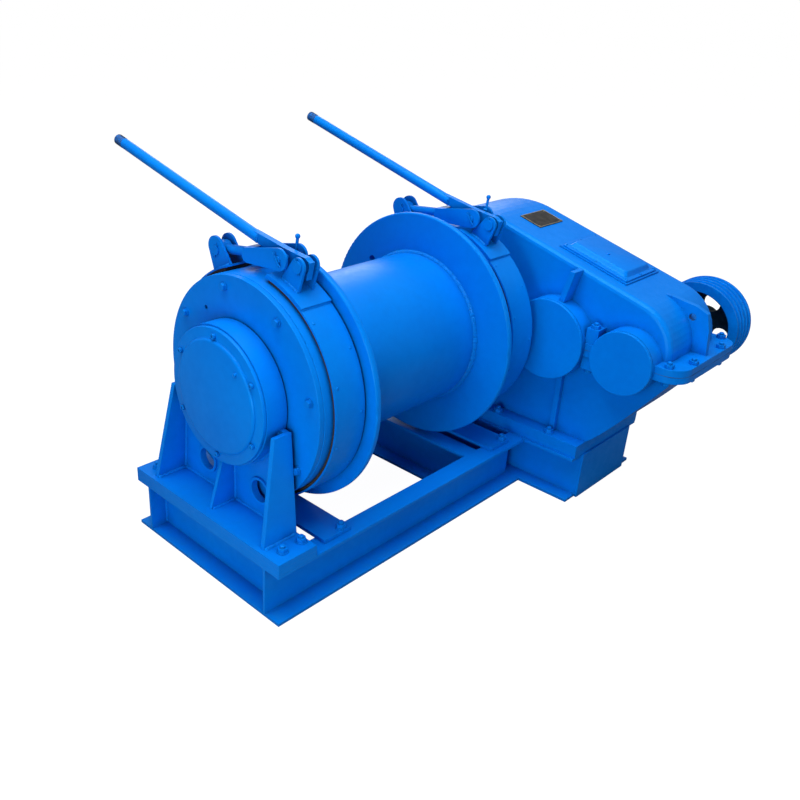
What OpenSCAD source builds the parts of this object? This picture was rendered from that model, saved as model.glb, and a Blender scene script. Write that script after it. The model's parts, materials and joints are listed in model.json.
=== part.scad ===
// Hand-braked friction winch: a rope drum with an epicyclic clutch housing on its left,
// a brake rim on its right, two band brakes worked by hand levers, and a two-stage
// gearbox with a V-belt pulley, all on a frame of rolled channels.
// X runs along the drum from the pedestal to the pulley, -Y is the gearbox front, Z is up.
// The origin lies on the floor, under the drum's axis, at the end channel.

/* [Frame channels] */
// Height of the frame channels
chan_h = 180; // [160:1:200]
// Width of the channel flanges
chan_w = 70; // [60:1:80]
// Thickness of the channel web
chan_web = 9; // [6:0.5:12]
// Thickness of the channel flanges
chan_fl = 10.5; // [8:0.5:14]
// Distance from the middle to the back of each long rail
rail_back_y = 287; // [270:1:300]
// Length that the rails stand out past the origin
rail_out = 30; // [20:1:32]
// Length of the two long rails
rail_len = 1218; // [1190:1:1240]
// Distance of the gear case past the ends of the long rails
case_set = 72; // [64:1:80]
// Place of the tips of the cross channel under the drum
cross_x = 915; // [850:1:930]
// Front end of the gearbox sub-frame
sub_front_y = 561; // [500:1:600]
// Rear end of the gearbox sub-frame
sub_rear_y = 358; // [357:1:400]
// Clear width between the two sub-frame beams
sub_gap = 324; // [300:1:340]
// Thickness of the plates that close the sub-frame ends
end_plate_t = 10; // [6:1:16]

/* [Plates on the frame] */
// Thickness of the two tie plates over the rails
tie_t = 12; // [8:1:20]
// Width of the tie plates along the drum
tie_w = 112; // [100:1:112]
// Half length of the tie plates
tie_half = 331; // [325:1:356]
// Thickness of the sole plate under the pedestal
sole_t = 18; // [10:1:25]
// Half length of the sole plate and of the pedestal's foot
sole_half = 357; // [345:1:357]
// Distance of the pedestal's far foot edge from the origin
foot_x = 117; // [116:1:130]

/* [Pedestal] */
// Thickness of the pedestal's foot plate
ped_foot_t = 20; // [12:1:30]
// Thickness of the pedestal's upright wall
ped_wall_t = 16; // [10:1:20]
// Thickness of the two side gussets
gusset_t = 16; // [10:1:24]
// Distance from the middle to the outer face of each gusset
gusset_y = 274; // [262:1:285]
// Height of the gusset tops above the floor
gusset_top = 545; // [500:1:570]
// Lean of the gussets towards the middle, in degrees
gusset_lean = 5; // [0:0.5:6]
// Outside radius of the bearing housing
house_r = 217; // [205:1:225]
// Length of the bearing housing
house_len = 72; // [60:1:74]
// Radius of the lightening holes in the wall
light_r = 36; // [20:1:38]
// Radius of the bearing cover's rim
cover_r = 212; // [195:1:217]
// Thickness of the cover's rim
cover_t = 12; // [8:1:14]
// Thickness of the cover's raised middle
cover_lift = 5; // [2:1:8]
// Radius of the cover's raised middle
cover_mid_r = 174; // [150:1:178]
// Radius of the circle of cover screws
cover_screw_r = 191; // [187:1:195]

/* [Drum] */
// Height of the drum's axis above the floor
axis_z = 590; // [585:1:620]
// Outside radius of the barrel
barrel_r = 265; // [240:1:285]
// Wall of the barrel
barrel_wall = 14; // [8:1:20]
// Length of the barrel between the flanges
barrel_len = 615; // [560:1:625]
// Radius of the drum flanges
flange_r = 402; // [370:1:404]
// Thickness of the drum flanges
flange_t = 20; // [16:1:26]
// Radius of the drum's hubs
hub_r = 95; // [85:1:110]
// Length that each hub reaches into the barrel
hub_len = 60; // [40:1:90]
// Radius of the rope's hole in the right flange
rope_hole_r = 13.5; // [8:0.5:20]
// Distance of the rope's hole from the axis
rope_hole_at = 297; // [290:1:305]
// Direction of the rope's hole, from +Y upwards
rope_hole_dir = 41.3; // [0:0.1:90]

/* [Brake rims and bands] */
// Outside radius of the clutch housing and of the brake rim
rim_r = 345; // [342:0.5:346]
// Wall of the brake rim
rim_wall = 21; // [12:1:28]
// Length of the brake rim
rim_len = 182; // [178:1:186]
// Width of the brake bands
band_w = 115; // [90:1:118]
// Thickness of the brake bands
band_t = 6; // [4:0.5:8]
// Thickness of the friction lining
lining_t = 9; // [6:0.5:10]
// Play between lining and rim when the brake is off
brake_play = 1.5; // [1:0.1:3]
// Direction of the band's anchored end, from +Y upwards
band_gap_from = 72; // [70:1:76]
// Direction of the band's bracket end, from +Y upwards
band_gap_to = 100; // [92:1:101]
// Half width of the anchor block under each band
anchor_half = 40; // [25:1:60]

/* [Epicyclic clutch] */
// Module of the clutch gears
mod_clutch = 7; // [6.9:0.05:7.05]
// Thickness of the clutch housing's cover disc
disc_t = 18; // [12:1:20]
// Length of the clutch housing
ring_len = 145; // [140:1:150]
// Face width of the clutch gears
clutch_face = 95; // [70:1:98]
// Radius of the hub tube that carries the cover disc
tube_r = 100; // [90:1:120]
// Outside radius of the main bearing
main_bearing_r = 165; // [150:1:170]
// Length of the main bearing
main_bearing_len = 50; // [40:1:54]
// Radius of the planet pins
planet_pin_r = 30; // [20:1:40]
// Radius of the circle of housing screws
disc_screw_r = 309; // [306:1:325]

/* [Main shaft] */
// Radius of the main shaft
shaft_r = 55; // [45:1:58]
// Play of the discs between drum and clutch housing
side_gap = 5; // [2:0.5:8]

/* [Brake levers] */
// Distance of the lever's fulcrum from the drum's axis
fulcrum_r = 433; // [430:1:440]
// Direction of the left lever's fulcrum, from -Y upwards
fulcrum_dir = 67.5; // [66:0.5:69]
// Turn of the right fulcrum towards the gearbox front
fulcrum_turn = 3.8; // [0:0.1:5]
// Slope of the left lever
lever_slope_left = 13.8; // [12:0.1:16]
// Slope of the right lever
lever_slope_right = 15.7; // [12:0.1:18]
// Distance from the fulcrum to the link pin
lever_arm = 66; // [62:1:72]
// Distance from the fulcrum to the lever's tip
lever_len = 939; // [700:1:1100]
// Outside radius of the lever's pipe
pipe_r = 16.85; // [13:0.05:18]
// Wall of the lever's pipe
pipe_wall = 3.2; // [2:0.1:5]
// Thickness of the lever's plate
lever_t = 20; // [12:1:26]
// Distance of the ear pin from the drum's axis
ear_pin_at = 415; // [412:1:420]
// Direction of the ear pin, from +Y upwards
ear_dir = 61.8; // [60:0.1:64]
// Thickness of ears, bracket plates and link plates
strap_t = 8; // [6:0.5:10]
// Clear width between the bracket plates
bracket_gap = 44; // [40:1:46]
// Clear width between the link plates
link_gap = 68; // [68:1:74]
// Clear width between the band's ears
ear_gap = 42; // [36:1:46]
// Radius of the link's tie rod
rod_r = 15; // [10:0.5:17]
// Distance from the link pin to the far end of the link plates
link_plate_len = 160; // [140:1:180]
// Free travel of the ear pin in the link's eye
eye_travel = 20; // [19:0.5:24]
// Radius of the fulcrum pin
fulcrum_pin_r = 11; // [8:0.5:13]
// Radius of the link pin
link_pin_r = 10; // [7:0.5:12]
// Radius of the ear pin
ear_pin_r = 9; // [6:0.5:10]

/* [Gearbox] */
// Module of the slow gear pair
mod_slow = 8; // [7.9:0.05:8.05]
// Module of the fast gear pair
mod_fast = 6; // [5.9:0.05:6.05]
// Width of the gear case between its side faces
case_w = 330; // [322:1:340]
// Wall of the gear case
case_t = 12; // [8:1:14]
// Radius of the case round the slow gear
case_r = 366; // [350:1:380]
// Radius of the case's front end
nose_r = 165; // [155:1:172]
// Height of the front end's centre above the shafts
nose_up = 32; // [20:1:40]
// Distance of the front end's centre before the drum's axis
nose_y = 630; // [620:1:640]
// Radius of the case's upper edges
case_edge = 18; // [8:1:24]
// Thickness of each joint flange between the case halves
joint_t = 24; // [16:1:30]
// Corner radius of the joint flange
joint_corner = 70; // [40:1:90]
// Distance of the joint flange's front edge before the drum's axis
joint_front = 866; // [850:1:880]
// Thickness of the cast foot
cast_foot_t = 30; // [20:1:34]
// Thickness of the spacer plate under the foot
spacer_t = 19; // [12:1:22]
// Front edge of the foot and of the spacer plate
foot_front = 563; // [545:1:575]
// Radius of the slow shaft's bearing boss
boss_main_r = 165; // [150:1:172]
// Radius of the middle shaft's bearing boss
boss_mid_r = 144; // [125:1:150]
// Radius of the fast shaft's bearing boss
boss_in_r = 110; // [95:1:112]
// Length of the bearing bosses before the case
boss_len = 66; // [50:1:70]
// Thickness of the bearing caps
cap_t = 12; // [8:1:16]
// Radius of the middle shaft
mid_shaft_r = 45; // [35:1:50]
// Radius of the input shaft
in_shaft_r = 30; // [24:1:36]
// Thickness of the lifting lug
lug_t = 20; // [12:1:28]
// Radius of the lifting lug's hole
lug_hole_r = 12.5; // [8:0.5:15]

/* [Pulley] */
// Radius of the pulley's rim
pulley_r = 163; // [140:1:180]
// Width of the pulley
pulley_w = 121; // [110:1:135]
// Number of belt grooves
grooves = 4; // [3:1:4]
// Depth of the belt grooves
groove_depth = 17; // [12:1:19]
// Gap between the gearbox and the pulley
pulley_gap = 70; // [50:1:100]
// Length of the input shaft past the pulley
shaft_out = 12; // [2:1:30]

/* [Clearances] */
// Radial running clearance of shafts and pins
run_gap = 0.06; // [0.02:0.01:0.1]
// Radial gap of a piece seated in its hole
seat_gap = 0.05; // [0.02:0.01:0.1]
// Backlash between gear teeth, at the pitch circle
backlash = 0.9; // [0.6:0.1:1.4]
// Gap between the case wall and what turns beside it
wall_gap = 15; // [8:1:18]

/* [Fasteners] */
// Radius of the frame bolts
bolt_r = 9; // [6:0.5:10]
// Height of the bolt heads
bolt_head = 12; // [8:1:16]
// Clearance of a bolt in its hole
bolt_gap = 1; // [0.5:0.1:2]

/* [Hidden] */
$fn = 96;
paint = "#0a86e6";
shade = "#0873cc";
steel = "#8d9298";
dark = "#2e3236";
bronze = "#9c7a3c";
lining_c = "#4a3f35";

// numbers of teeth
sun_z = 24;
planet_z = 30;
ring_z = sun_z + 2 * planet_z;
slow_z = 78;
slow_pinion_z = 17;
fast_z = 76;
fast_pinion_z = 19;
carrier_r = mod_clutch * (sun_z + planet_z) / 2;
mid_y = -mod_slow * (slow_z + slow_pinion_z) / 2;
in_y = mid_y - mod_fast * (fast_z + fast_pinion_z) / 2;
planet_dirs = [90, 210, 330];

// stations along X
end_tip_x = -rail_out;
rail_end_x = rail_len - rail_out;
sub_in_back = rail_end_x + chan_w;
sub_out_back = sub_in_back + sub_gap;
house_x0 = 50;
house_x1 = house_x0 + house_len;
disc_x0 = house_x1 + side_gap;
disc_x1 = disc_x0 + disc_t;
fl_left_x0 = disc_x1 + ring_len + side_gap;
barrel_x0 = fl_left_x0 + flange_t;
barrel_x1 = barrel_x0 + barrel_len;
rim_x0 = barrel_x1 + flange_t;
rim_x1 = rim_x0 + rim_len;
case_x0 = rail_end_x + case_set;
case_x1 = case_x0 + case_w;
boss_x0 = case_x0 - boss_len;
joint_out = 55;
boss_out = joint_out;
boss_x1 = case_x1 + boss_out;
joint_x0 = case_x0 - joint_out;
joint_x1 = case_x1 + joint_out;
foot_x0 = case_x0 - 62;
foot_x1 = case_x1 + 60;
pulley_x0 = boss_x1 + cap_t + pulley_gap;
pulley_x1 = pulley_x0 + pulley_w;
band_left_x = disc_x1 + ring_len - 2 - band_w / 2;
band_right_x = rim_x0 + 62.5 + band_w / 2;

// stations along Z
web_in = chan_h - chan_fl;
sole_z = chan_h + sole_t;
ped_z = sole_z + ped_foot_t;
tie_z = chan_h + tie_t;
spacer_z = chan_h + spacer_t;
cast_foot_z = spacer_z + cast_foot_t;

// band brake radii
lining_in = rim_r + brake_play;
band_in = lining_in + lining_t;
band_out = band_in + band_t;

// pins of the brake gear, as [y, z] across the drum
ear_pin = [ear_pin_at * cos(ear_dir), axis_z + ear_pin_at * sin(ear_dir)];
function fulcrum(turn) = [-fulcrum_r * cos(fulcrum_dir - turn), axis_z + fulcrum_r * sin(fulcrum_dir - turn)];
link_drop = 8;
function link_pin(turn, slope) = fulcrum(turn)
    + [lever_arm * cos(slope) + link_drop * sin(slope), lever_arm * sin(slope) - link_drop * cos(slope)];
function span(a, b) = norm(b - a);
function dir(a, b) = atan2(b[1] - a[1], b[0] - a[0]);

// upper tangent of two circles, as the four corners of the strip between centres and tangent
function tan_dir(a, ra, b, rb) = dir(a, b) - acos((ra - rb) / span(a, b));
function polar(r, t) = [r * cos(t), r * sin(t)];
case_mid = [0, axis_z];
nose_mid = [-nose_y, axis_z + nose_up];
slope_dir = tan_dir(case_mid, case_r, nose_mid, nose_r);
slope = slope_dir - 90;
function top_at(y) = axis_z + (case_r + y * sin(slope)) / cos(slope);

// bolts through the frame, as [x, y, top of the clamped plates]
tie_left_x = band_left_x;
tie_right_x = band_right_x;
bolt_y = rail_back_y + chan_web + bolt_r + bolt_gap + 7;
ped_bolts = [for (x = [22, 95], s = [-1, 1]) [x, s * bolt_y, ped_z]];
tie_bolts = [for (x = [tie_left_x + 30, tie_right_x + 30], s = [-1, 1]) [x, s * bolt_y, tie_z]];
case_bolts = [for (x = [foot_x0 + 20, foot_x1 - 20], y = [-434, -210, 240]) [x, y, cast_foot_z]];

// [general shapes]

module along_x(x0, x1) {
    translate([x0, 0, 0]) rotate([90, 0, 90]) linear_extrude(x1 - x0) children();
}

module along_y(y0, y1) {
    translate([0, y1, 0]) rotate([90, 0, 0]) linear_extrude(y1 - y0) children();
}

module rod_x(x0, x1, r, y = 0, z = axis_z) {
    translate([x0, y, z]) rotate([0, 90, 0]) cylinder(r = r, h = x1 - x0);
}

// turned about an axis along X, from a profile of [radius, x]
module turned(y = 0, z = axis_z) {
    translate([0, y, z]) mirror([0, 0, 1]) rotate([0, 90, 0]) rotate_extrude() children();
}

module tube_x(x0, x1, r_in, r_out, y = 0, z = axis_z) {
    difference() {
        rod_x(x0, x1, r_out, y, z);
        rod_x(x0 - 1, x1 + 1, r_in, y, z);
    }
}

// a rectangle with its two outer corners (greater first coordinate) rounded
module round_out(r0, r1, x0, x1, e) {
    translate([r0, x0]) square([r1 - r0 - e, x1 - x0]);
    translate([r0, x0 + e]) square([r1 - r0, x1 - x0 - 2 * e]);
    for (x = [x0 + e, x1 - e]) translate([r1 - e, x]) circle(r = e, $fn = 32);
}

module round_rect(x0, x1, y0, y1, e) {
    translate([x0 + e, y0]) square([x1 - x0 - 2 * e, y1 - y0]);
    translate([x0, y0 + e]) square([x1 - x0, y1 - y0 - 2 * e]);
    for (x = [x0 + e, x1 - e], y = [y0 + e, y1 - e]) translate([x, y]) circle(r = e, $fn = 48);
}

// two rounded ends joined by their outer tangents, as one outline
module strap(a, ra, b, rb, n = 20) {
    up = tan_dir(a, ra, b, rb);
    down = 2 * dir(a, b) - up;
    polygon(concat([for (i = [0 : n]) a + polar(ra, down + (up + 360 - down) * i / n)],
        [for (i = [0 : n]) b + polar(rb, up + (down - up) * i / n)]));
}

// channel section in a plane, its back along the second axis, flanges towards +first axis
module channel_section() {
    difference() {
        square([chan_w, chan_h]);
        translate([chan_web, chan_fl]) square([chan_w, chan_h - 2 * chan_fl]);
    }
}

module channel_x(x0, x1, back, side) {
    along_x(x0, x1) translate([back, 0]) mirror([side < 0 ? 1 : 0, 0]) channel_section();
}

module channel_y(y0, y1, back, side) {
    along_y(y0, y1) translate([back, 0]) mirror([side < 0 ? 1 : 0, 0]) channel_section();
}

module bolt_holes(list, z0, z1) {
    for (b = list) translate([b[0], b[1], z0 - 1]) cylinder(r = bolt_r + bolt_gap, h = z1 - z0 + 2, $fn = 32);
}

module hex_bolt(b) {
    grip = b[2] - web_in;
    translate([b[0], b[1], web_in]) cylinder(r = bolt_r, h = grip + bolt_head / 2, $fn = 32);
    translate([b[0], b[1], b[2]]) cylinder(r = bolt_r * 2, h = 3, $fn = 32);
    translate([b[0], b[1], b[2] + 3]) cylinder(r = bolt_r * 1.75, h = bolt_head, $fn = 6);
    translate([b[0], b[1], web_in - bolt_head - 2]) cylinder(r = bolt_r * 1.75, h = bolt_head + 2, $fn = 6);
}

// sector of a disc, as a wedge to cut with
module wedge(r, from, to) {
    polygon(concat([[0, 0]], [for (i = [0 : 4]) polar(r * 1.2, from + (to - from) * i / 4)]));
}

// [gear teeth: involute flanks between root and tip, as straight facets]

function inv(a) = tan(a) * 180 / PI - a;
function half_tooth(z, m, r, slack) = let (rb = m * z / 2 * cos(20), q = max(r, rb))
    90 / z - slack / (m * z) * 180 / PI / 2 + inv(20) - inv(acos(min(1, rb / q)));
function gear_points(z, m, r0, r1, slack) = [for (i = [0 : z - 1], k = [0 : 3])
    polar(k == 0 || k == 3 ? r0 : r1,
        i * 360 / z + (k < 2 ? -1 : 1) * half_tooth(z, m, k == 0 || k == 3 ? r0 : r1, slack))];

module gear_2d(z, m, bore) {
    difference() {
        polygon(gear_points(z, m, m * z / 2 - 1.2 * m, m * z / 2 + 0.95 * m, backlash));
        circle(r = bore);
    }
}

module gear_x(x0, x1, z, m, bore, y, turn) {
    translate([0, y, axis_z]) along_x(x0, x1) rotate(turn) gear_2d(z, m, bore);
}

// [frame]

module rail(side) {
    color(paint) difference() {
        channel_x(end_tip_x, rail_end_x, side * rail_back_y, side);
        bolt_holes(concat(ped_bolts, tie_bolts), web_in, chan_h);
    }
}
module rail_front() rail(-1);
module rail_back() rail(1);

module end_channel() {
    color(shade) channel_y(-rail_back_y, rail_back_y, chan_w - rail_out, -1);
}

module cross_channel() {
    color(shade) channel_y(-rail_back_y, rail_back_y, cross_x + chan_w, -1);
}

module sub_beam_in() {
    color(paint) difference() {
        channel_y(-sub_front_y, sub_rear_y, sub_in_back, -1);
        bolt_holes(case_bolts, web_in, chan_h);
    }
}

module sub_beam_out() {
    color(paint) difference() {
        channel_y(-sub_front_y, sub_rear_y, sub_out_back, 1);
        bolt_holes(case_bolts, web_in, chan_h);
    }
}

module stringer_front() {
    color(shade) channel_x(sub_in_back, sub_out_back, -rail_back_y, -1);
}

module stringer_back() {
    color(shade) channel_x(sub_in_back, sub_out_back, rail_back_y, 1);
}

module end_plate(y) {
    translate([sub_in_back - chan_web, y, 0]) cube([sub_gap + 2 * chan_web, end_plate_t, chan_h]);
}
module end_plate_front() {
    color(shade) end_plate(-sub_front_y - end_plate_t);
}
module end_plate_back() {
    color(shade) end_plate(sub_rear_y);
}

module tie_plate(x) {
    color(paint) difference() {
        translate([x - tie_w / 2, -tie_half, chan_h]) cube([tie_w, 2 * tie_half, tie_t]);
        bolt_holes(tie_bolts, chan_h, tie_z);
    }
}
module tie_plate_left() tie_plate(tie_left_x);
module tie_plate_right() tie_plate(tie_right_x);

module frame_bolts() {
    color(paint) for (b = concat(ped_bolts, tie_bolts, case_bolts)) hex_bolt(b);
}

module sole_plate() {
    color(shade) difference() {
        translate([end_tip_x, -sole_half, chan_h]) cube([foot_x + rail_out, 2 * sole_half, sole_t]);
        bolt_holes(ped_bolts, chan_h, sole_z);
    }
}

// [pedestal and main bearing]

wall_x1 = foot_x - 3;
wall_x0 = wall_x1 - ped_wall_t;
gusset_in = gusset_y - gusset_t;
wall_lean = (gusset_top - ped_z) * tan(gusset_lean);
light_z = ped_z + (axis_z - house_r - ped_z) * 0.56;
light_y = gusset_in * 0.5;

module pedestal_wall() {
    difference() {
        union() {
            polygon([[-gusset_in - 1, ped_z], [gusset_in + 1, ped_z],
                [gusset_in + 1 - wall_lean, gusset_top], [-gusset_in - 1 + wall_lean, gusset_top]]);
            translate([0, axis_z]) circle(r = house_r - 1);
        }
        for (s = [-1, 1]) translate([s * light_y, light_z]) circle(r = light_r);
    }
}

module pedestal() {
    color(paint) difference() {
        union() {
            translate([end_tip_x, -sole_half, sole_z]) cube([foot_x + rail_out, 2 * sole_half, ped_foot_t]);
            along_x(wall_x0, wall_x1) pedestal_wall();
            rod_x(house_x0, house_x1, house_r);
            for (s = [-1, 1]) {
                translate([0, s * gusset_in, ped_z]) rotate([s * gusset_lean, 0, 0])
                    along_y(s > 0 ? 0 : -gusset_t, s > 0 ? gusset_t : 0)
                        polygon([[-14, -4], [wall_x1 - 1, -4], [wall_x1 - 1, gusset_top - ped_z],
                            [50, gusset_top - ped_z]]);
                difference() {
                    rod_x(wall_x0 - 7, wall_x0 + 1, light_r + 9, s * light_y, light_z);
                    rod_x(wall_x0 - 8, wall_x0 + 2, light_r, s * light_y, light_z);
                }
            }
            along_y(-6, 6) polygon([[3, ped_z], [wall_x0 + 1, ped_z], [wall_x0 + 1, axis_z - house_r + 12],
                [house_x0 + 2, axis_z - house_r + 12], [house_x0 + 2, axis_z - house_r + 3]]);
        }
        rod_x(house_x0 - 1, house_x1 + 1, main_bearing_r + seat_gap);
        rod_x(wall_x1, house_x1 + 1, main_bearing_r + 20);
        bolt_holes(ped_bolts, sole_z, ped_z);
    }
}

module bearing_cover() {
    color(paint) difference() {
        union() {
            turned() round_out(0, cover_r, house_x0 - cover_t, house_x0, 3);
            turned() round_out(0, cover_mid_r, house_x0 - cover_t - cover_lift, house_x0 - cover_t + 1, 3);
            rod_x(house_x0 - cover_t - cover_lift - 4, house_x0 - cover_t,
                9, -151 * cos(46.5), axis_z + 151 * sin(46.5));
        }
        rod_x(house_x0 - 4, house_x0 + 1, main_bearing_r - 10);
    }
}

module cover_screws() {
    color(paint) for (a = [30 : 60 : 330]) {
        y = cover_screw_r * cos(a);
        z = axis_z + cover_screw_r * sin(a);
        rod_x(house_x0 - cover_t - 6, house_x0 - cover_t, 8.5, y, z);
    }
}

// inner ring, balls and outer ring, fused where the balls sit in their races
module main_bearing() {
    mid = (tube_r + main_bearing_r) / 2;
    x = house_x0 + main_bearing_len / 2 + 4;
    h = main_bearing_len / 2;
    ball = (main_bearing_r - tube_r) * 0.28;
    color(steel) {
        tube_x(x - h, x + h, tube_r + seat_gap, mid - ball * 0.8);
        tube_x(x - h, x + h, mid + ball * 0.8, main_bearing_r);
        for (a = [0 : 30 : 330])
            rod_x(x - h * 0.7, x + h * 0.7, ball * 0.9, mid * cos(a), axis_z + mid * sin(a));
    }
}

// [clutch housing]

module ring_housing() {
    space = [for (p = gear_points(ring_z, mod_clutch, mod_clutch * ring_z / 2 - mod_clutch,
        mod_clutch * ring_z / 2 + 1.25 * mod_clutch, -backlash)) p];
    x0 = disc_x1 + 20;
    color(paint) difference() {
        turned() round_out(mod_clutch * ring_z / 2 - 1.5 * mod_clutch, rim_r, disc_x1, disc_x1 + ring_len, 3);
        translate([0, 0, axis_z]) along_x(x0 - 1, x0 + clutch_face + 6) rotate(180 / ring_z) polygon(space);
        rod_x(disc_x1 - 1, x0, mod_clutch * (ring_z / 2 + 1.6));
        rod_x(x0 + clutch_face + 5, disc_x1 + ring_len + 1, mod_clutch * (ring_z / 2 + 1.6));
    }
}

module housing_cover() {
    color(paint) difference() {
        union() {
            turned() round_out(0, rim_r - 1, disc_x0, disc_x1, 2);
            rod_x(house_x0 + 2, disc_x0 + 1, tube_r);
            rod_x(disc_x1 - 1, disc_x1 + 12, tube_r);
        }
        rod_x(house_x0, disc_x1 + 13, shaft_r + run_gap);
        rod_x(disc_x0 - 1, disc_x1 + 1, 7, -264 * cos(126), axis_z + 264 * sin(126));
    }
}

module housing_screws() {
    color(paint) for (a = [12 : 45 : 340]) {
        y = -disc_screw_r * cos(a);
        z = axis_z + disc_screw_r * sin(a);
        rod_x(disc_x0 - 3, disc_x0, 14, y, z);
        translate([disc_x0 - 13, y, z]) rotate([0, 90, 0]) cylinder(r = 11.5, h = 11, $fn = 6);
    }
}

// [band brakes]

module band_ring(c, r0, r1, w, inset) {
    turn = 180 * inset / PI / r1;
    along_x(c - w / 2, c + w / 2) translate([0, axis_z]) difference() {
        circle(r = r1, $fn = 128);
        circle(r = r0, $fn = 128);
        wedge(r1, band_gap_from - turn, band_gap_to + turn);
    }
}

// one ear plate, standing on the band
module ear(x0) {
    foot_a = ear_dir - 7;
    foot_b = ear_dir + 7.5;
    along_x(x0, x0 + strap_t) difference() {
        union() {
            translate(ear_pin + polar(10, ear_dir)) circle(r = 34, $fn = 64);
            polygon([polar(band_out - 2, foot_a) + [0, axis_z], ear_pin + polar(10, ear_dir) + polar(34, ear_dir - 90),
                ear_pin + polar(10, ear_dir) + polar(34, ear_dir + 90), polar(band_out - 2, foot_b) + [0, axis_z]]);
        }
        translate(ear_pin) circle(r = ear_pin_r + seat_gap, $fn = 48);
        translate([0, axis_z]) circle(r = band_out - 3, $fn = 128);
    }
}

module band(c) {
    color(paint) {
        band_ring(c, band_in, band_out, band_w, 0);
        ear(c - ear_gap / 2 - strap_t);
        ear(c + ear_gap / 2);
    }
}
module band_left() band(band_left_x);
module band_right() band(band_right_x);

module lining_left() {
    color(lining_c) band_ring(band_left_x, lining_in, band_in - seat_gap, band_w - 8, 12);
}
module lining_right() {
    color(lining_c) band_ring(band_right_x, lining_in, band_in - seat_gap, band_w - 8, 12);
}

module band_anchors() {
    color(shade) difference() {
        for (c = [tie_left_x, tie_right_x])
            translate([c - 45, -anchor_half, tie_z]) cube([90, 2 * anchor_half, 60]);
        for (c = [tie_left_x, tie_right_x])
            rod_x(c - 50, c + 50, band_out + seat_gap);
    }
}

// wrap plate with the two fulcrum plates
module bracket(c, turn) {
    f = fulcrum(turn);
    at = 180 - fulcrum_dir + turn;
    wrap_r = band_out + 7;
    color(paint) {
        along_x(c - band_w / 2, c + band_w / 2) translate([0, axis_z]) intersection() {
            difference() {
                circle(r = wrap_r, $fn = 128);
                circle(r = band_out + seat_gap, $fn = 128);
            }
            wedge(wrap_r, at - 12, at + 13);
        }
        for (x = [c - bracket_gap / 2 - strap_t, c + bracket_gap / 2])
            along_x(x, x + strap_t) difference() {
                union() {
                    translate(f) circle(r = 26, $fn = 64);
                    polygon([polar(wrap_r - 1, at - 7) + [0, axis_z], f + polar(26, at - 75),
                        f + polar(26, at + 75), polar(wrap_r - 1, at + 5) + [0, axis_z]]);
                }
                translate(f) circle(r = fulcrum_pin_r + seat_gap, $fn = 48);
                translate([0, axis_z]) circle(r = wrap_r - 2, $fn = 128);
            }
    }
}
module bracket_left() bracket(band_left_x, 0);
module bracket_right() bracket(band_right_x, fulcrum_turn);

module headed_pin(c, half, r, at) {
    rod_x(c - half, c + half, r, at[0], at[1]);
    for (x = [c - half - 5, c + half]) rod_x(x, x + 5, r * 1.6, at[0], at[1]);
}

module brake_pins() {
    color(paint) for (k = [[band_left_x, 0], [band_right_x, fulcrum_turn]]) {
        headed_pin(k[0], bracket_gap / 2 + strap_t + 0.1, fulcrum_pin_r, fulcrum(k[1]));
        headed_pin(k[0], ear_gap / 2 + strap_t + 0.1, ear_pin_r, ear_pin);
    }
}

// hand lever: an eye plate with a pipe, drawn about its fulcrum and turned to its slope
module lever(c, turn, slope_a) {
    f = fulcrum(turn);
    pipe_y = -12.8;
    pin = [lever_arm, -link_drop];
    start = [207, pipe_y];
    color(paint) translate([0, f[0], f[1]]) rotate([slope_a, 0, 0]) {
        along_x(c - lever_t / 2, c + lever_t / 2) difference() {
            union() {
                strap([0, 0], 24, pin, 23);
                polygon([[0, 20], [start[0] + 14, 2], [start[0] + 14, pipe_y - 11], [pin[0] + 4, -30], [0, -20]]);
            }
            circle(r = fulcrum_pin_r + run_gap, $fn = 48);
            translate(pin) circle(r = link_pin_r + run_gap, $fn = 48);
        }
        difference() {
            translate([c, start[0] - 10, pipe_y]) rotate([-90, 0, 0]) cylinder(r = pipe_r, h = lever_len - start[0] + 10);
            translate([c, start[0] + 24, pipe_y]) rotate([-90, 0, 0]) cylinder(r = pipe_r - pipe_wall, h = lever_len);
        }
    }
}
module lever_left() lever(band_left_x, 0, lever_slope_left);
module lever_right() lever(band_right_x, fulcrum_turn, lever_slope_right);

// brake link: two plates, an end block, a tie rod and a slotted eye, drawn about the link pin
module link(c, turn, slope_a) {
    p = link_pin(turn, slope_a);
    l = span(p, ear_pin);
    block = link_plate_len - 22;
    eye_r = ear_pin_r + 2.3;
    color(paint) translate([0, p[0], p[1]]) rotate([dir(p, ear_pin), 0, 0]) {
        for (x = [c - link_gap / 2 - strap_t, c + link_gap / 2]) along_x(x, x + strap_t)
            strap([0, 0], 32, [block, 0], 22);
        translate([c - link_gap / 2 - 1, block - 12, -21]) cube([link_gap + 2, 34, 42]);
        rod_x(c - link_gap / 2 - strap_t - 5, c + link_gap / 2 + strap_t + 5, link_pin_r, 0, 0);
        translate([c, block + 18, 0]) rotate([-90, 0, 0]) cylinder(r = rod_r, h = l - block - 36);
        along_x(c - ear_gap / 2 + 5, c + ear_gap / 2 - 5) difference() {
            strap([l, 0], 25, [l + eye_travel, 0], 24.9);
            strap([l, 0], eye_r, [l + eye_travel, 0], eye_r - 0.01);
        }
    }
}
module link_left() link(band_left_x, 0, lever_slope_left);
module link_right() link(band_right_x, fulcrum_turn, lever_slope_right);

// [drum]

module drum_barrel() {
    color(paint) tube_x(barrel_x0, barrel_x1, barrel_r - barrel_wall, barrel_r);
}

bush_t = 10;

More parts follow.
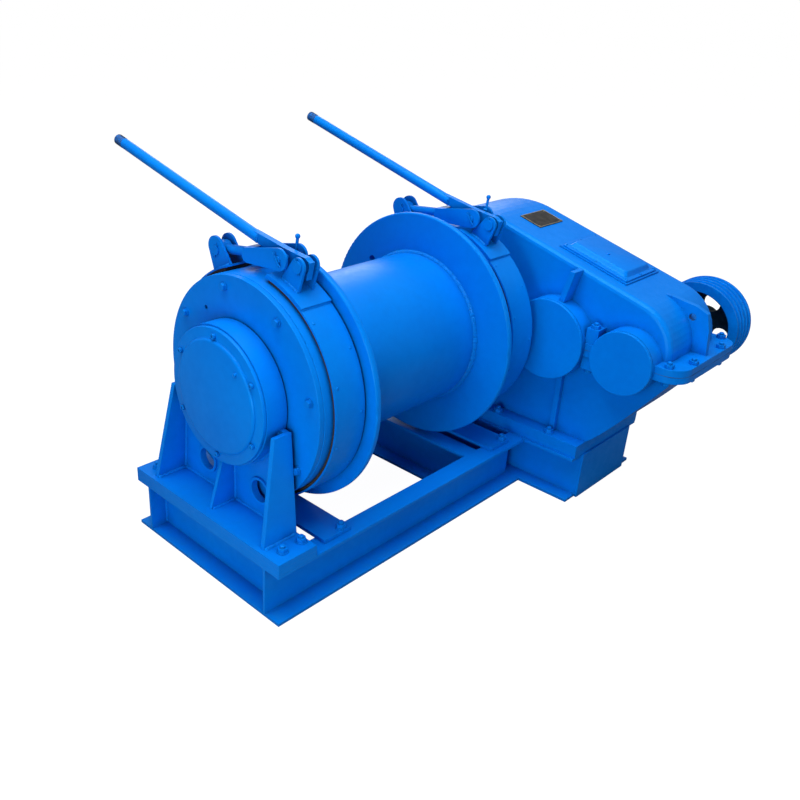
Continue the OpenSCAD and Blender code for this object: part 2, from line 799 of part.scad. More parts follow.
module flange_left() {
    color(paint) difference() {
        union() {
            turned() round_out(0, flange_r, fl_left_x0, barrel_x0, 6);
            rod_x(barrel_x0 - 1, barrel_x0 + hub_len, hub_r);
        }
        rod_x(fl_left_x0 - 1, barrel_x0 + hub_len + 1, shaft_r + bush_t + seat_gap);
        for (a = planet_dirs)
            rod_x(fl_left_x0 - 1, barrel_x0 + 1, planet_pin_r + seat_gap,
                carrier_r * cos(a), axis_z + carrier_r * sin(a));
    }
}

module flange_right() {
    color(paint) difference() {
        union() {
            turned() round_out(0, flange_r, barrel_x1, rim_x0, 6);
            rod_x(barrel_x1 - hub_len, rim_x0 + 70, hub_r);
            for (a = [0 : 60 : 300]) translate([0, 0, axis_z]) rotate([a, 0, 0])
                translate([rim_x0 - 1, hub_r - 4, -6]) cube([61, rim_r - rim_wall - hub_r + 3.9, 12]);
        }
        rod_x(barrel_x1 - hub_len - 1, rim_x0 + 71, shaft_r + bush_t + seat_gap);
        rod_x(barrel_x1 - 1, rim_x0 + 1, rope_hole_r,
            rope_hole_at * cos(rope_hole_dir), axis_z + rope_hole_at * sin(rope_hole_dir));
    }
}

module brake_rim() {
    color(paint) tube_x(rim_x0, rim_x1, rim_r - rim_wall, rim_r);
}

module drum_bushes() {
    color(bronze) {
        tube_x(fl_left_x0, barrel_x0 + hub_len, shaft_r + run_gap, shaft_r + bush_t);
        tube_x(barrel_x1 - hub_len, rim_x0 + 70, shaft_r + run_gap, shaft_r + bush_t);
    }
}

gear_x0 = disc_x1 + 20;

module planet_pins() {
    color(steel) for (a = planet_dirs)
        rod_x(gear_x0 - 2, barrel_x0, planet_pin_r, carrier_r * cos(a), axis_z + carrier_r * sin(a));
}

module planet(a) {
    color(steel) translate([0, carrier_r * cos(a), axis_z + carrier_r * sin(a)])
        along_x(gear_x0 + 2, gear_x0 + clutch_face) rotate(a + 180 / planet_z)
        gear_2d(planet_z, mod_clutch, planet_pin_r + run_gap);
}
module planet_1() planet(planet_dirs[0]);
module planet_2() planet(planet_dirs[1]);
module planet_3() planet(planet_dirs[2]);

// [shafts and gears]

slow_x0 = case_x0 + case_t + wall_gap;
slow_face = 120;
fast_x0 = slow_x0 + slow_face + 30;
fast_face = 90;

module main_shaft() {
    color(steel) {
        rod_x(house_x0 + 6, boss_x1 - 2, shaft_r);
    }
}

module sun_gear() {
    color(steel) gear_x(gear_x0, gear_x0 + clutch_face, sun_z, mod_clutch, shaft_r + seat_gap, 0, 0);
}

module out_gear() {
    color(steel) difference() {
        union() {
            gear_x(slow_x0, slow_x0 + slow_face, slow_z, mod_slow, shaft_r + seat_gap, 0, 0);
        }
        for (x = [slow_x0 - 1, slow_x0 + slow_face - 35]) tube_x(x, x + 36, shaft_r + 35, mod_slow * slow_z / 2 - 45);
    }
}

module mid_shaft() {
    color(steel) {
        rod_x(boss_x0 + 8, boss_x1 - 2, mid_shaft_r, mid_y);
        gear_x(slow_x0 - 4, slow_x0 + slow_face + 4, slow_pinion_z, mod_slow, 5, mid_y, 180 / slow_pinion_z);
    }
}

module mid_gear() {
    color(steel) difference() {
        gear_x(fast_x0, fast_x0 + fast_face, fast_z, mod_fast, mid_shaft_r + seat_gap, mid_y, 0);
        for (x = [fast_x0 - 1, fast_x0 + fast_face - 25])
            tube_x(x, x + 26, mid_shaft_r + 28, mod_fast * fast_z / 2 - 32, mid_y);
    }
}

module input_shaft() {
    color(steel) {
        rod_x(boss_x0 + 8, pulley_x1 + shaft_out, in_shaft_r, in_y);
        gear_x(fast_x0 - 4, fast_x0 + fast_face + 4, fast_pinion_z, mod_fast, 5, in_y, 180 / fast_pinion_z);
    }
}

// V-belt pulley: grooved rim, web with openings, hub
module pulley() {
    pitch = (pulley_w - 13) / grooves;
    color(paint) difference() {
        union() {
            turned(in_y) difference() {
                translate([pulley_r - 34, pulley_x0]) square([34, pulley_w]);
                for (i = [0 : grooves - 1]) translate([pulley_r, pulley_x0 + 6.5 + pitch * (i + 0.5)])
                    polygon([[1, -pitch * 0.42], [-groove_depth, -pitch * 0.22],
                        [-groove_depth, pitch * 0.22], [1, pitch * 0.42]]);
            }
            rod_x(pulley_x0 + pulley_w / 2 - 9, pulley_x0 + pulley_w / 2 + 9, pulley_r - 33, in_y);
            rod_x(pulley_x0 + 12, pulley_x1 - 4, in_shaft_r * 1.75, in_y);
        }
        rod_x(pulley_x0 - 1, pulley_x1 + 1, in_shaft_r + seat_gap, in_y);
        for (a = [0 : 90 : 270]) {
            r = (in_shaft_r * 1.75 + pulley_r - 33) / 2;
            rod_x(pulley_x0, pulley_x1, (pulley_r - 33 - in_shaft_r * 1.75) * 0.42,
                in_y + r * cos(a + 20), axis_z + r * sin(a + 20));
        }
    }
}

// [gear case]

// the outline of the case across the shafts, above the joint
module case_upper_outline(inset) {
    intersection() {
        strap(case_mid, case_r - inset, nose_mid, nose_r - inset, 96);
        translate([-joint_front, axis_z]) square([2 * joint_front, case_r + 20]);
    }
    translate([-nose_y - nose_r + inset, axis_z]) square([nose_r, nose_up + 1]);
}

// upper case with its outer edges rounded in steps of 30 degrees
module case_upper_solid() {
    intersection() {
        hull() for (t = [0 : 30 : 90]) {
            e = case_edge * (1 - cos(t));
            along_x(case_x0 + case_edge * (1 - sin(t)), case_x1 - case_edge * (1 - sin(t))) {
                translate(case_mid) circle(r = case_r - e, $fn = 80);
                translate(nose_mid) circle(r = nose_r - e, $fn = 48);
                translate([-nose_y - nose_r + e, axis_z - 5]) square([nose_r, nose_up]);
            }
        }
        translate([case_x0 - 1, -joint_front, axis_z]) cube([case_w + 2, 2 * joint_front, case_r + 10]);
    }
}

// the lower case's front: a hollow curve from the foot out to under the joint flange
function belly(s, inset) = [-foot_front + inset - s * (830 - foot_front),
    cast_foot_z + inset * 0.9 + (476 - cast_foot_z) * pow(s, 0.72)];
module case_lower_outline(inset) {
    intersection() {
        union() {
            translate(case_mid) circle(r = case_r - inset, $fn = 128);
            polygon(concat([[0, cast_foot_z + inset]], [for (i = [0 : 8]) belly(i / 8, inset)],
                [[-830 + inset, axis_z], [0, axis_z]]));
        }
        translate([-joint_front, cast_foot_z - 1 + inset]) square([2 * joint_front, axis_z - cast_foot_z + 1 - inset]);
    }
}

module boss_set(z_side) {
    // each boss is [y, radius, radius of its bearing seat]
    for (b = boss_list) {
        rod_x(boss_x0, case_x0 + 1, b[1], b[0]);
        rod_x(case_x1 - 1, boss_x1, b[1] * 0.9, b[0]);
    }
}
boss_list = [[0, boss_main_r, 95], [mid_y, boss_mid_r, 82], [in_y, boss_in_r, 62]];

module boss_bores() {
    for (b = boss_list) rod_x(boss_x0 - 1, boss_x1 + 1, b[2] + seat_gap, b[0]);
}

joint_rear = case_r + 42;
split_xy = concat(
    [for (y = [-810, -540, -215, 205, 330], x = [joint_x0 + 22, joint_x1 - 22]) [x, y]],
    [for (x = [case_x0 + 60, case_x0 + case_w - 60]) [x, joint_rear - 20]],
    [for (x = [case_x0 + 60, case_x0 + case_w - 60]) [x, -joint_front + 18]]);

module split_holes(z0, z1) {
    for (p = split_xy) translate([p[0], p[1], z0 - 1]) cylinder(r = bolt_r + bolt_gap, h = z1 - z0 + 2, $fn = 32);
}

// joint flange of one half, with the thick bolt pads between the bosses
module joint_flange(z0, z1) {
    translate([0, 0, z0]) linear_extrude(z1 - z0)
        round_rect(joint_x0, joint_x1, -joint_front, joint_rear, joint_corner);
}

module case_half_keep(up) {
    translate([foot_x0 - 100, -joint_front - 10, up ? axis_z : 0])
        cube([foot_x1 - foot_x0 + 200, joint_front + joint_rear + 20, up ? 500 : axis_z]);
}

module lug_outline() {
    polygon([[-nose_y - 40, axis_z + joint_t - 1], [-846, axis_z + joint_t - 1], [-838, 700], [-823, 752],
        [-781, 769], [-690, 783], [-nose_y - 20, axis_z + nose_up + nose_r - 6]]);
}
lug_x = case_x0 + case_w / 2;
lug_hole = [-776, 731];

module case_upper() {
    color(paint) difference() {
        union() {
            case_upper_solid();
            joint_flange(axis_z, axis_z + joint_t);
            intersection() {
                boss_set();
                case_half_keep(true);
            }
            along_x(lug_x - lug_t / 2, lug_x + lug_t / 2) lug_outline();
            along_x(lug_x - lug_t / 2, lug_x + lug_t / 2)
                polygon([[case_r - 60, 860], [case_r - 10, 840], [joint_rear - 14, 700],
                    [joint_rear - 14, axis_z + joint_t - 1], [case_r - 60, axis_z + joint_t - 1]]);
            // slanting rib over the middle boss
            along_x(boss_x0 + 12, case_x0 + 1) polygon([[-418, 730], [-398, 730], [-424, 842], [-444, 842]]);
            // bolt pads beside and between the bosses
            for (y = [-540, -215]) translate([joint_x0 + 4, y - 22, axis_z])
                cube([case_x0 - joint_x0 - 3, 44, 78]);
            // pad of the inspection opening, on the slope
            translate([0, -308, top_at(-308)]) rotate([slope, 0, 0])
                translate([case_x0 + 55, -278, -8]) cube([case_w - 100, 278, 13]);
        }
        along_x(case_x0 + case_t, case_x1 - case_t) case_upper_outline(case_t);
        boss_bores();
        split_holes(axis_z, axis_z + 80);
        rod_x(lug_x - lug_t, lug_x + lug_t, lug_hole_r, lug_hole[0], lug_hole[1]);
        rod_x(lug_x - lug_t, lug_x + lug_t, lug_hole_r, joint_rear - 45, 740);
        // the inspection opening itself
        translate([0, -308, top_at(-308)]) rotate([slope, 0, 0])
            translate([case_x0 + 100, -230, -60]) cube([case_w - 200, 170, 80]);
    }
}

module case_lower() {
    color(paint) difference() {
        union() {
            along_x(case_x0, case_x1) case_lower_outline(0);
            joint_flange(axis_z - joint_t, axis_z);
            intersection() {
                boss_set();
                case_half_keep(false);
            }
            translate([foot_x0, -foot_front, spacer_z])
                cube([foot_x1 - foot_x0, foot_front + sub_rear_y, cast_foot_t]);
            // upright ribs from the foot to the bosses and the joint flange
            for (y = [-430, 190]) translate([case_x0 - 20, y - 10, cast_foot_z - 1])
                cube([21, 20, axis_z - joint_t - cast_foot_z + 2]);
            for (y = [-430, 190]) translate([case_x1 - 1, y - 10, cast_foot_z - 1])
                cube([21, 20, axis_z - joint_t - cast_foot_z + 2]);
            for (y = [-540, -215]) translate([joint_x0 + 4, y - 22, axis_z - 70])
                cube([case_x0 - joint_x0 - 3, 44, 70]);
        }
        along_x(case_x0 + case_t, case_x1 - case_t) case_lower_outline(case_t);
        boss_bores();
        split_holes(axis_z - 80, axis_z);
        bolt_holes(case_bolts, spacer_z, cast_foot_z);
    }
}

function pad_side(p) = p[0] < case_x0 && (p[1] == -540 || p[1] == -215);
module split_bolts() {
    color(paint) for (p = split_xy) {
        up = axis_z + (pad_side(p) ? 78 : joint_t);
        down = axis_z - (pad_side(p) ? 70 : joint_t);
        translate([p[0], p[1], down]) cylinder(r = bolt_r, h = up - down + 2, $fn = 32);
        translate([p[0], p[1], up]) cylinder(r = bolt_r * 1.75, h = bolt_head, $fn = 6);
        translate([p[0], p[1], down - bolt_head]) cylinder(r = bolt_r * 1.75, h = bolt_head, $fn = 6);
    }
}

module spacer_plate() {
    color(shade) difference() {
        translate([foot_x0, -foot_front, chan_h]) cube([foot_x1 - foot_x0, foot_front + sub_rear_y, spacer_t]);
        bolt_holes(case_bolts, chan_h, spacer_z);
    }
}

module inspection_lid() {
    color(paint) translate([0, -308, top_at(-308)]) rotate([slope, 0, 0]) {
        translate([case_x0 + 68, -258, 5]) cube([case_w - 130, 240, 7]);
        translate([case_x0 + 90, -236, 12]) cube([case_w - 174, 196, 5]);
        translate([case_x0 + 210, -90, 17]) cylinder(r = 7, h = 8, $fn = 32);
    }
}

module nameplate() {
    color(dark) translate([0, -103, top_at(-103)]) rotate([slope, 0, 0])
        translate([1365, -92, 0]) cube([150, 92, 3]);
}

module bearing_caps() {
    color(paint) {
        for (b = [boss_list[1], boss_list[2]]) turned(b[0]) round_out(0, b[1], boss_x0 - cap_t, boss_x0, 3);
        tube_x(boss_x0 - cap_t, boss_x0, shaft_r + 2, boss_main_r);
        for (b = [boss_list[0], boss_list[1]]) turned(b[0]) round_out(0, b[1] * 0.9, boss_x1, boss_x1 + cap_t, 3);
        tube_x(boss_x1, boss_x1 + cap_t, in_shaft_r + 2, boss_in_r * 0.9, in_y);
    }
}

module gear_bearings() {
    shafts = [shaft_r, mid_shaft_r, in_shaft_r];
    color(steel) for (i = [0 : 2]) {
        b = boss_list[i];
        tube_x(boss_x0 + 10, boss_x0 + 50, shafts[i] + run_gap, b[2], b[0]);
        tube_x(case_x1 + 2, case_x1 + 42, shafts[i] + run_gap, b[2], b[0]);
    }
}

rail_front();
rail_back();
end_channel();
cross_channel();
sub_beam_in();
sub_beam_out();
stringer_front();
stringer_back();
end_plate_front();
end_plate_back();
tie_plate_left();
tie_plate_right();
frame_bolts();
sole_plate();
pedestal();
bearing_cover();
cover_screws();
main_bearing();
ring_housing();
housing_cover();
housing_screws();
band_left();
band_right();
lining_left();
lining_right();
band_anchors();
bracket_left();
bracket_right();
brake_pins();
case_lower();
case_upper();
split_bolts();
spacer_plate();
inspection_lid();
nameplate();
bearing_caps();
gear_bearings();
drum_barrel();
flange_left();
flange_right();
brake_rim();
drum_bushes();
planet_pins();
main_shaft();
sun_gear();
out_gear();
planet_1();
planet_2();
planet_3();
mid_shaft();
mid_gear();
input_shaft();
pulley();
lever_left();
lever_right();
link_left();
link_right();
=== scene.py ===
import json
import math

import bmesh
import bpy
import numpy as np
from mathutils import Matrix, Vector


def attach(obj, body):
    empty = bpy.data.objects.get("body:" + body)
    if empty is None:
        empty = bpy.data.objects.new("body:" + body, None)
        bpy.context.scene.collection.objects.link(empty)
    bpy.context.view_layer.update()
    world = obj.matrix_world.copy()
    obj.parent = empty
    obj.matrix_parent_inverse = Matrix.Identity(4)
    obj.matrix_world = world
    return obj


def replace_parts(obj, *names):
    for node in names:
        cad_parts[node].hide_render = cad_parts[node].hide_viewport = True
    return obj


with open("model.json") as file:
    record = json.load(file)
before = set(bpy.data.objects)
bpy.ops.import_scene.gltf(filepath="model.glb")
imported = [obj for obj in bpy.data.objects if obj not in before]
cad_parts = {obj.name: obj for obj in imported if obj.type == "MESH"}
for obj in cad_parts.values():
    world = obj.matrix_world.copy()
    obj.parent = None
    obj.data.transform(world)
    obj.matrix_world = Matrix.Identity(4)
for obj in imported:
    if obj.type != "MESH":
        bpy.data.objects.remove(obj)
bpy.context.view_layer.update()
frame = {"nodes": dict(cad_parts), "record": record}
scene = bpy.context.scene
nodes = frame["nodes"]

# places are in the CAD's millimetres up to the call that makes a mesh, which takes metres
mm = 0.001
drumHeight = 590.0
print("frame loaded:", len(nodes), "CAD nodes")

# camera, fitted to the photo
view = {
    "place": (-1.2897, -1.7794, 1.6739),
    "yaw": 44.9,
    "down": 25.9,
    "roll": 1.9,
    "lens": 37.77,
    "shift": (0.09125, -0.0059),
}
yaw, down, roll = (math.radians(view[key]) for key in ("yaw", "down", "roll"))
ahead = Vector((math.cos(down) * math.cos(yaw), math.cos(down) * math.sin(yaw), -math.sin(down)))
level = Vector((math.sin(yaw), -math.cos(yaw), 0))
upright = level.cross(ahead)
right = math.cos(roll) * level + math.sin(roll) * upright
above = -math.sin(roll) * level + math.cos(roll) * upright
cameraData = bpy.data.cameras.new("photoCamera")
camera = bpy.data.objects.new("photoCamera", cameraData)
scene.collection.objects.link(camera)
camera.matrix_world = Matrix((
    (right.x, above.x, -ahead.x, view["place"][0]),
    (right.y, above.y, -ahead.y, view["place"][1]),
    (right.z, above.z, -ahead.z, view["place"][2]),
    (0, 0, 0, 1),
))
cameraData.lens = view["lens"]
cameraData.sensor_width = 36
cameraData.shift_x, cameraData.shift_y = view["shift"]
cameraData.clip_start, cameraData.clip_end = 0.05, 60
cameraData.dof.use_dof = False
scene.camera = camera
scene.view_settings.view_transform = "Standard"
print("camera ready")


# one value in a node tree; plain sums on it become Math nodes
class Wire:
    def __init__(self, board, link):
        self.board, self.link = board, link

    def at(self, key):
        return Wire(self.board, self.link.node.outputs[key])

    def __add__(self, other):
        return self.board.calculate("ADD", self, other)

    def __radd__(self, other):
        return self.board.calculate("ADD", other, self)

    def __sub__(self, other):
        return self.board.calculate("SUBTRACT", self, other)

    def __rsub__(self, other):
        return self.board.calculate("SUBTRACT", other, self)

    def __mul__(self, other):
        return self.board.calculate("MULTIPLY", self, other)

    def __rmul__(self, other):
        return self.board.calculate("MULTIPLY", other, self)

    def __pow__(self, other):
        return self.board.calculate("POWER", self, other)

    def __rpow__(self, other):
        return self.board.calculate("POWER", other, self)


# a node tree; add makes any node from its type, its settings and the values or links of its sockets
class Board:
    def __init__(self, tree):
        self.tree = tree

    def put(self, value, socket):
        if isinstance(value, Wire):
            self.tree.links.new(value.link, socket)
        else:
            socket.default_value = value

    def add(self, kind, settings=None, inputs=None, output=0):
        made = self.tree.nodes.new(kind)
        for name, value in (settings or {}).items():
            setattr(made, name, value)
        for key, value in (inputs or {}).items():
            self.put(value, made.inputs[key])
        return Wire(self, made.outputs[output]) if len(made.outputs) else made

    def calculate(self, operation, *values, clamp=False):
        settings = {"operation": operation, "use_clamp": clamp}
        return self.add("ShaderNodeMath", settings, dict(enumerate(values)))

    def ramp(self, value, low, high, start=0.0, end=1.0):
        inputs = {0: value, 1: low, 2: high, 3: start, 4: end}
        return self.add("ShaderNodeMapRange", {"clamp": True}, inputs)

    def mixColour(self, factor, first, second):
        inputs = {0: factor, 6: first, 7: second}
        return self.add("ShaderNodeMix", {"data_type": "RGBA"}, inputs, output=2)

    def vector(self, operation, *values):
        return self.add("ShaderNodeVectorMath", {"operation": operation}, dict(enumerate(values)))

    def part(self, value, index):
        return self.add("ShaderNodeSeparateXYZ", {}, {0: value}, output=index)

    def noise(self, place, scale, detail=3.0, rough=0.5, stretch=None):
        if stretch:
            place = self.vector("MULTIPLY", place, stretch)
        inputs = {"Vector": place, "Scale": scale, "Detail": detail, "Roughness": rough}
        return self.add("ShaderNodeTexNoise", {}, inputs)


def startMaterial(name):
    material = bpy.data.materials.new(name)
    material.use_nodes = True
    material.node_tree.nodes.clear()
    board = Board(material.node_tree)
    place = board.add("ShaderNodeTexCoord").at("Object")
    return material, board, place


# settings are the shader's constants; edge is the radius that rounds sharp edges
def endMaterial(board, settings, colour, roughness, height, depth, strength, metallic=0.0, edge=0.0006):
    worn = board.add("ShaderNodeBevel", {"samples": 4}, {"Radius": edge})
    bump = board.add("ShaderNodeBump", {}, {
        "Strength": strength,
        "Distance": depth,
        "Height": height,
        "Normal": worn,
    })
    shader = board.add("ShaderNodeBsdfPrincipled", {}, {
        "Base Color": colour,
        "Roughness": roughness,
        "Metallic": metallic,
        "Normal": bump,
    })
    for key, value in settings.items():
        shader.link.node.inputs[key].default_value = value
    finish = board.add("ShaderNodeOutputMaterial")
    board.put(shader, finish.inputs["Surface"])


# blue enamel, with dust on what faces up and near the floor, and painted shade in the corners
enamel = {
    "lit": (0.0, 0.225, 0.87, 1),
    "deep": (0.0, 0.182, 0.78, 1),
    "dust": (0.01, 0.24, 0.76, 1),
    # the next three are the painted shade in corners: its colour, how far it reaches and how strong it gets
    "paintedShade": (0.0, 0.03, 0.14, 1),
    "paintedShadeReach": 0.05,
    "paintedShadeMost": 0.75,
    "rough": (0.3, 0.46),
    "dustHeight": 0.03,
    "sheen": (0.1, 0.9, 1.0, 1),
    "gloss": 0.34,
    "bump": (0.0012, 0.35),
    "edge": 0.0022,
}


def enamelMaterial(name, grain, grainScale, orange=0.25, shade=1.0):
    material, board, place = startMaterial(name)
    broad = board.noise(place, 2.3, 4.0, 0.55)
    fine = board.noise(place, 34.0, 5.0, 0.6)
    lit = [channel * shade for channel in enamel["lit"][:3]] + [1]
    deep = [channel * shade for channel in enamel["deep"][:3]] + [1]
    colour = board.mixColour(board.ramp(broad * 0.7 + fine * 0.3, 0.35, 0.62), lit, deep)
    facing = board.part(board.add("ShaderNodeNewGeometry").at("Normal"), 2)
    low = board.ramp(board.part(place, 2), 0.0, enamel["dustHeight"], 0.5, 0.0)
    settled = board.ramp(facing, 0.5, 1.0, 0.0, 0.14) * board.ramp(fine, 0.35, 0.7)
    dust = board.calculate("ADD", low * board.ramp(fine, 0.4, 0.65), settled, clamp=True)
    colour = board.mixColour(dust, colour, enamel["dust"])
    # painted shade: the colour darkens towards a dark blue where ambient occlusion finds corners, recesses
    # and gaps between parts, a little patchy with noise
    reach = {"Distance": enamel["paintedShadeReach"]}
    paintedShadeKey = board.add("ShaderNodeAmbientOcclusion", {"samples": 6}, reach, output="AO")
    paintedShade = board.ramp(paintedShadeKey, 0.15, 0.78, enamel["paintedShadeMost"], 0.0) * board.ramp(fine, 0.2, 0.6, 0.7, 1.0)
    colour = board.mixColour(paintedShade, colour, enamel["paintedShade"])
    rough = board.ramp(fine * 0.6 + broad * 0.4, 0.3, 0.7, *enamel["rough"]) + dust * 0.25
    peel = board.noise(place, 420.0, 2.0, 0.5)
    cast = board.noise(place, grainScale, 4.0, 0.65)
    height = peel * orange + cast * grain + broad * 0.6
    settings = {
        "Coat Weight": 0.03,
        "Coat Roughness": 0.15,
        "IOR": 1.45,
        "Specular IOR Level": enamel["gloss"],
        "Specular Tint": enamel["sheen"],
    }
    endMaterial(board, settings, colour, rough, height, *enamel["bump"], edge=enamel["edge"])
    return material


# paint on the rim, and near-black painted shade on the web and hub inside it, told apart by the distance from
# the shaft
def pulleyMaterial(name, axis, shadeRadius):
    material, board, place = startMaterial(name)
    across = board.part(place, 1) - axis[0]
    upward = board.part(place, 2) - axis[1]
    away = (across ** 2.0 + upward ** 2.0) ** 0.5
    fine = board.noise(place, 60.0, 5.0, 0.6)
    # painted shade: within that radius of the shaft the web and hub are coloured near-black, for the shaded
    # inside of the pulley
    paintedShadeKey = board.ramp(away + fine * 0.006, shadeRadius, shadeRadius + 0.003, 1.0, 0.0)
    blue = board.mixColour(board.ramp(fine, 0.35, 0.65), enamel["lit"], enamel["deep"])
    insideShade = board.mixColour(board.ramp(fine, 0.4, 0.7), (0.004, 0.012, 0.03, 1), (0.012, 0.03, 0.07, 1))
    colour = board.mixColour(paintedShadeKey, blue, insideShade)
    rough = board.ramp(fine, 0.3, 0.7, *enamel["rough"]) + paintedShadeKey * 0.2
    settings = {"Specular IOR Level": enamel["gloss"], "Specular Tint": enamel["sheen"]}
    grain = board.noise(place, 190.0, 4.0, 0.65)
    endMaterial(board, settings, colour, rough, grain, *enamel["bump"], edge=enamel["edge"])
    return material


# bare metal: turning marks, stretched along one axis, and patches of oil
def steelMaterial(name, base, dark, along, grainScale):
    material, board, place = startMaterial(name)
    rings = board.noise(place, grainScale, 2.0, 0.6, along)
    patches = board.noise(place, 14.0, 4.0, 0.6)
    oil = board.ramp(patches, 0.45, 0.7)
    colour = board.mixColour(oil * 0.5 + rings * 0.3, base, dark)
    rough = board.ramp(rings, 0.3, 0.7, 0.2, 0.42) - oil * 0.06
    endMaterial(board, {"IOR": 2.5}, colour, rough, rings, 0.0002, 0.25, 1.0)
    return material


# woven friction lining with brass wire in it, laid round the drum's axis
def liningMaterial():
    material, board, place = startMaterial("frictionLining")
    across = board.calculate("SINE", board.part(place, 0) * 2100.0)
    angle = board.calculate("ARCTAN2", board.part(place, 2) - drumHeight * mm, board.part(place, 1))
    along = board.calculate("SINE", angle * 740.0)
    weave = across * along * 0.5 + 0.5
    brass = board.ramp(board.noise(place, 260.0, 2.0), 0.62, 0.7)
    colour = board.mixColour(weave, (0.012, 0.01, 0.009, 1), (0.04, 0.033, 0.026, 1))
    colour = board.mixColour(brass * 0.5, colour, (0.2, 0.13, 0.05, 1))
    endMaterial(board, {}, colour, board.ramp(weave, 0.0, 1.0, 0.7, 0.92), weave, 0.0006, 0.6)
    return material


# plain dark or dull surface in two mottled colours
def darkMaterial(name, colour, second, scale, rough):
    material, board, place = startMaterial(name)
    worn = board.noise(place, scale, 5.0, 0.65)
    fine = board.noise(place, scale * 9, 2.0)
    mottled = board.mixColour(board.ramp(worn, 0.4, 0.68), colour, second)
    dullness = board.ramp(worn, 0.3, 0.7, *rough)
    endMaterial(board, {"Specular IOR Level": 0.4}, mottled, dullness, fine * 0.5 + worn, 0.0003, 0.4)
    return material


paintRolled = enamelMaterial("enamelRolled", 0.12, 60.0)
paintCast = enamelMaterial("enamelCast", 0.9, 190.0, 0.3)
paintTurned = enamelMaterial("enamelTurned", 0.1, 120.0, 0.12)
paintWeld = enamelMaterial("enamelWeld", 0.5, 300.0, 0.2)
paintPulley = pulleyMaterial("enamelPulley", (-0.665, drumHeight * mm), 0.132)
paintSmall = enamelMaterial("enamelHardware", 0.25, 240.0, 0.2, 0.96)
metals = {
    "steelTurned": ((0.56, 0.57, 0.59, 1), (0.3, 0.29, 0.28, 1), (40.0, 1.0, 1.0), 900.0),
    "steelGround": ((0.6, 0.61, 0.63, 1), (0.38, 0.37, 0.36, 1), (3.0, 1.0, 1.0), 1400.0),
    "bushBronze": ((0.55, 0.36, 0.14, 1), (0.3, 0.18, 0.07, 1), (40.0, 1.0, 1.0), 900.0),
}
steelTurned, steelGround, bronze = (steelMaterial(name, *values) for name, values in metals.items())
lining = liningMaterial()
darks = {
    "plateDark": ((0.02, 0.02, 0.021, 1), (0.05, 0.047, 0.042, 1), 40.0, (0.45, 0.65)),
    "plateTrim": ((0.3, 0.27, 0.2, 1), (0.16, 0.15, 0.13, 1), 60.0, (0.35, 0.5)),
    "threadBlack": ((0.012, 0.014, 0.02, 1), (0.035, 0.05, 0.075, 1), 90.0, (0.4, 0.6)),
    "sealantGrey": ((0.01, 0.06, 0.22, 1), (0.0, 0.1, 0.4, 1), 80.0, (0.5, 0.7)),
}
plateDark, plateTrim, threadBlack, sealant = (darkMaterial(name, *values) for name, values in darks.items())

# CAD nodes get their material from their slot, unless they are named here
bySlot = {"bright_steel": steelTurned, "bronze": bronze, "lining": lining, "plate_dark": plateDark}
byName = (
    (paintPulley, ["pulley"]),
    (paintCast, ["case_upper", "case_lower", "bearing_caps", "brake_rim", "ring_housing", "band_anchors"]),
    (paintTurned, ["drum_barrel", "flange_left", "flange_right", "housing_cover", "bearing_cover"]),
    (paintSmall, ["frame_bolts", "split_bolts", "housing_screws", "cover_screws", "brake_pins"]),
    (steelGround, ["main_bearing", "gear_bearings", "planet_pins"]),
)
named = {name: material for material, names in byName for name in names}
slots = {subpart["node"]: subpart["material_slot"] for subpart in frame["record"]["subparts"]}
for name, node in nodes.items():
    material = named.get(name, bySlot.get(slots[name], paintRolled))
    node.data.materials.clear()
    node.data.materials.append(material)
print("materials ready")


# shells joined in one mesh, each with its faces turned outward
def shellMesh(name, shells):
    points, faces = [], []
    for shellPoints, shellFaces in shells:
        start = len(points)
        corners = np.asarray(shellPoints, float) - np.mean(shellPoints, 0)
        volume = sum(np.dot(corners[face[0]], np.cross(corners[face[i]], corners[face[i + 1]]))
            for face in shellFaces for i in range(1, len(face) - 1))
        points += [tuple(point) for point in shellPoints]
        faces += [[start + i for i in (face if volume > 0 else face[::-1])] for face in shellFaces]
    mesh = bpy.data.meshes.new(name)
    mesh.from_pydata(points, [], faces)
    mesh.update()
    return mesh


# an object in the scene with this mesh
def shown(name, mesh):
    made = bpy.data.objects.new(name, mesh)
    scene.collection.objects.link(made)
    return made


# a finished piece: its mesh in place, its material and its body
def finishPiece(name, mesh, material, body):
    mesh.materials.clear()
    mesh.materials.append(material)
    mesh.shade_smooth()
    mesh.set_sharp_from_angle(angle=math.radians(38))
    made = shown(name, mesh)
    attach(made, body)
    return made


def piece(name, shells, material, body):
    return finishPiece(name, shellMesh(name, shells), material, body)


# a node's mesh as a closed one: its points are doubled along sharp edges
def closedCopy(node):
    mesh = nodes[node].data.copy()
    work = bmesh.new()
    work.from_mesh(mesh)
    bmesh.ops.remove_doubles(work, verts=work.verts, dist=1e-6)
    work.to_mesh(mesh)
    work.free()
    mesh.attributes.remove(mesh.attributes["custom_normal"])
    return mesh


# joins a shell to a mesh or cuts it away, and gives the new mesh
def carve(mesh, operation, shell):
    target = shown("carveTarget", mesh)
    tool = shown("carveTool", shellMesh("carveTool", [shell]))
    modifier = target.modifiers.new("carve", "BOOLEAN")
    modifier.operation = operation
    modifier.solver = "EXACT"
    modifier.object = tool
    bpy.context.view_layer.update()
    result = bpy.data.meshes.new_from_object(target.evaluated_get(bpy.context.evaluated_depsgraph_get()))
    target.modifiers.clear()
    for used in (target, tool):
        bpy.data.objects.remove(used)
    return result


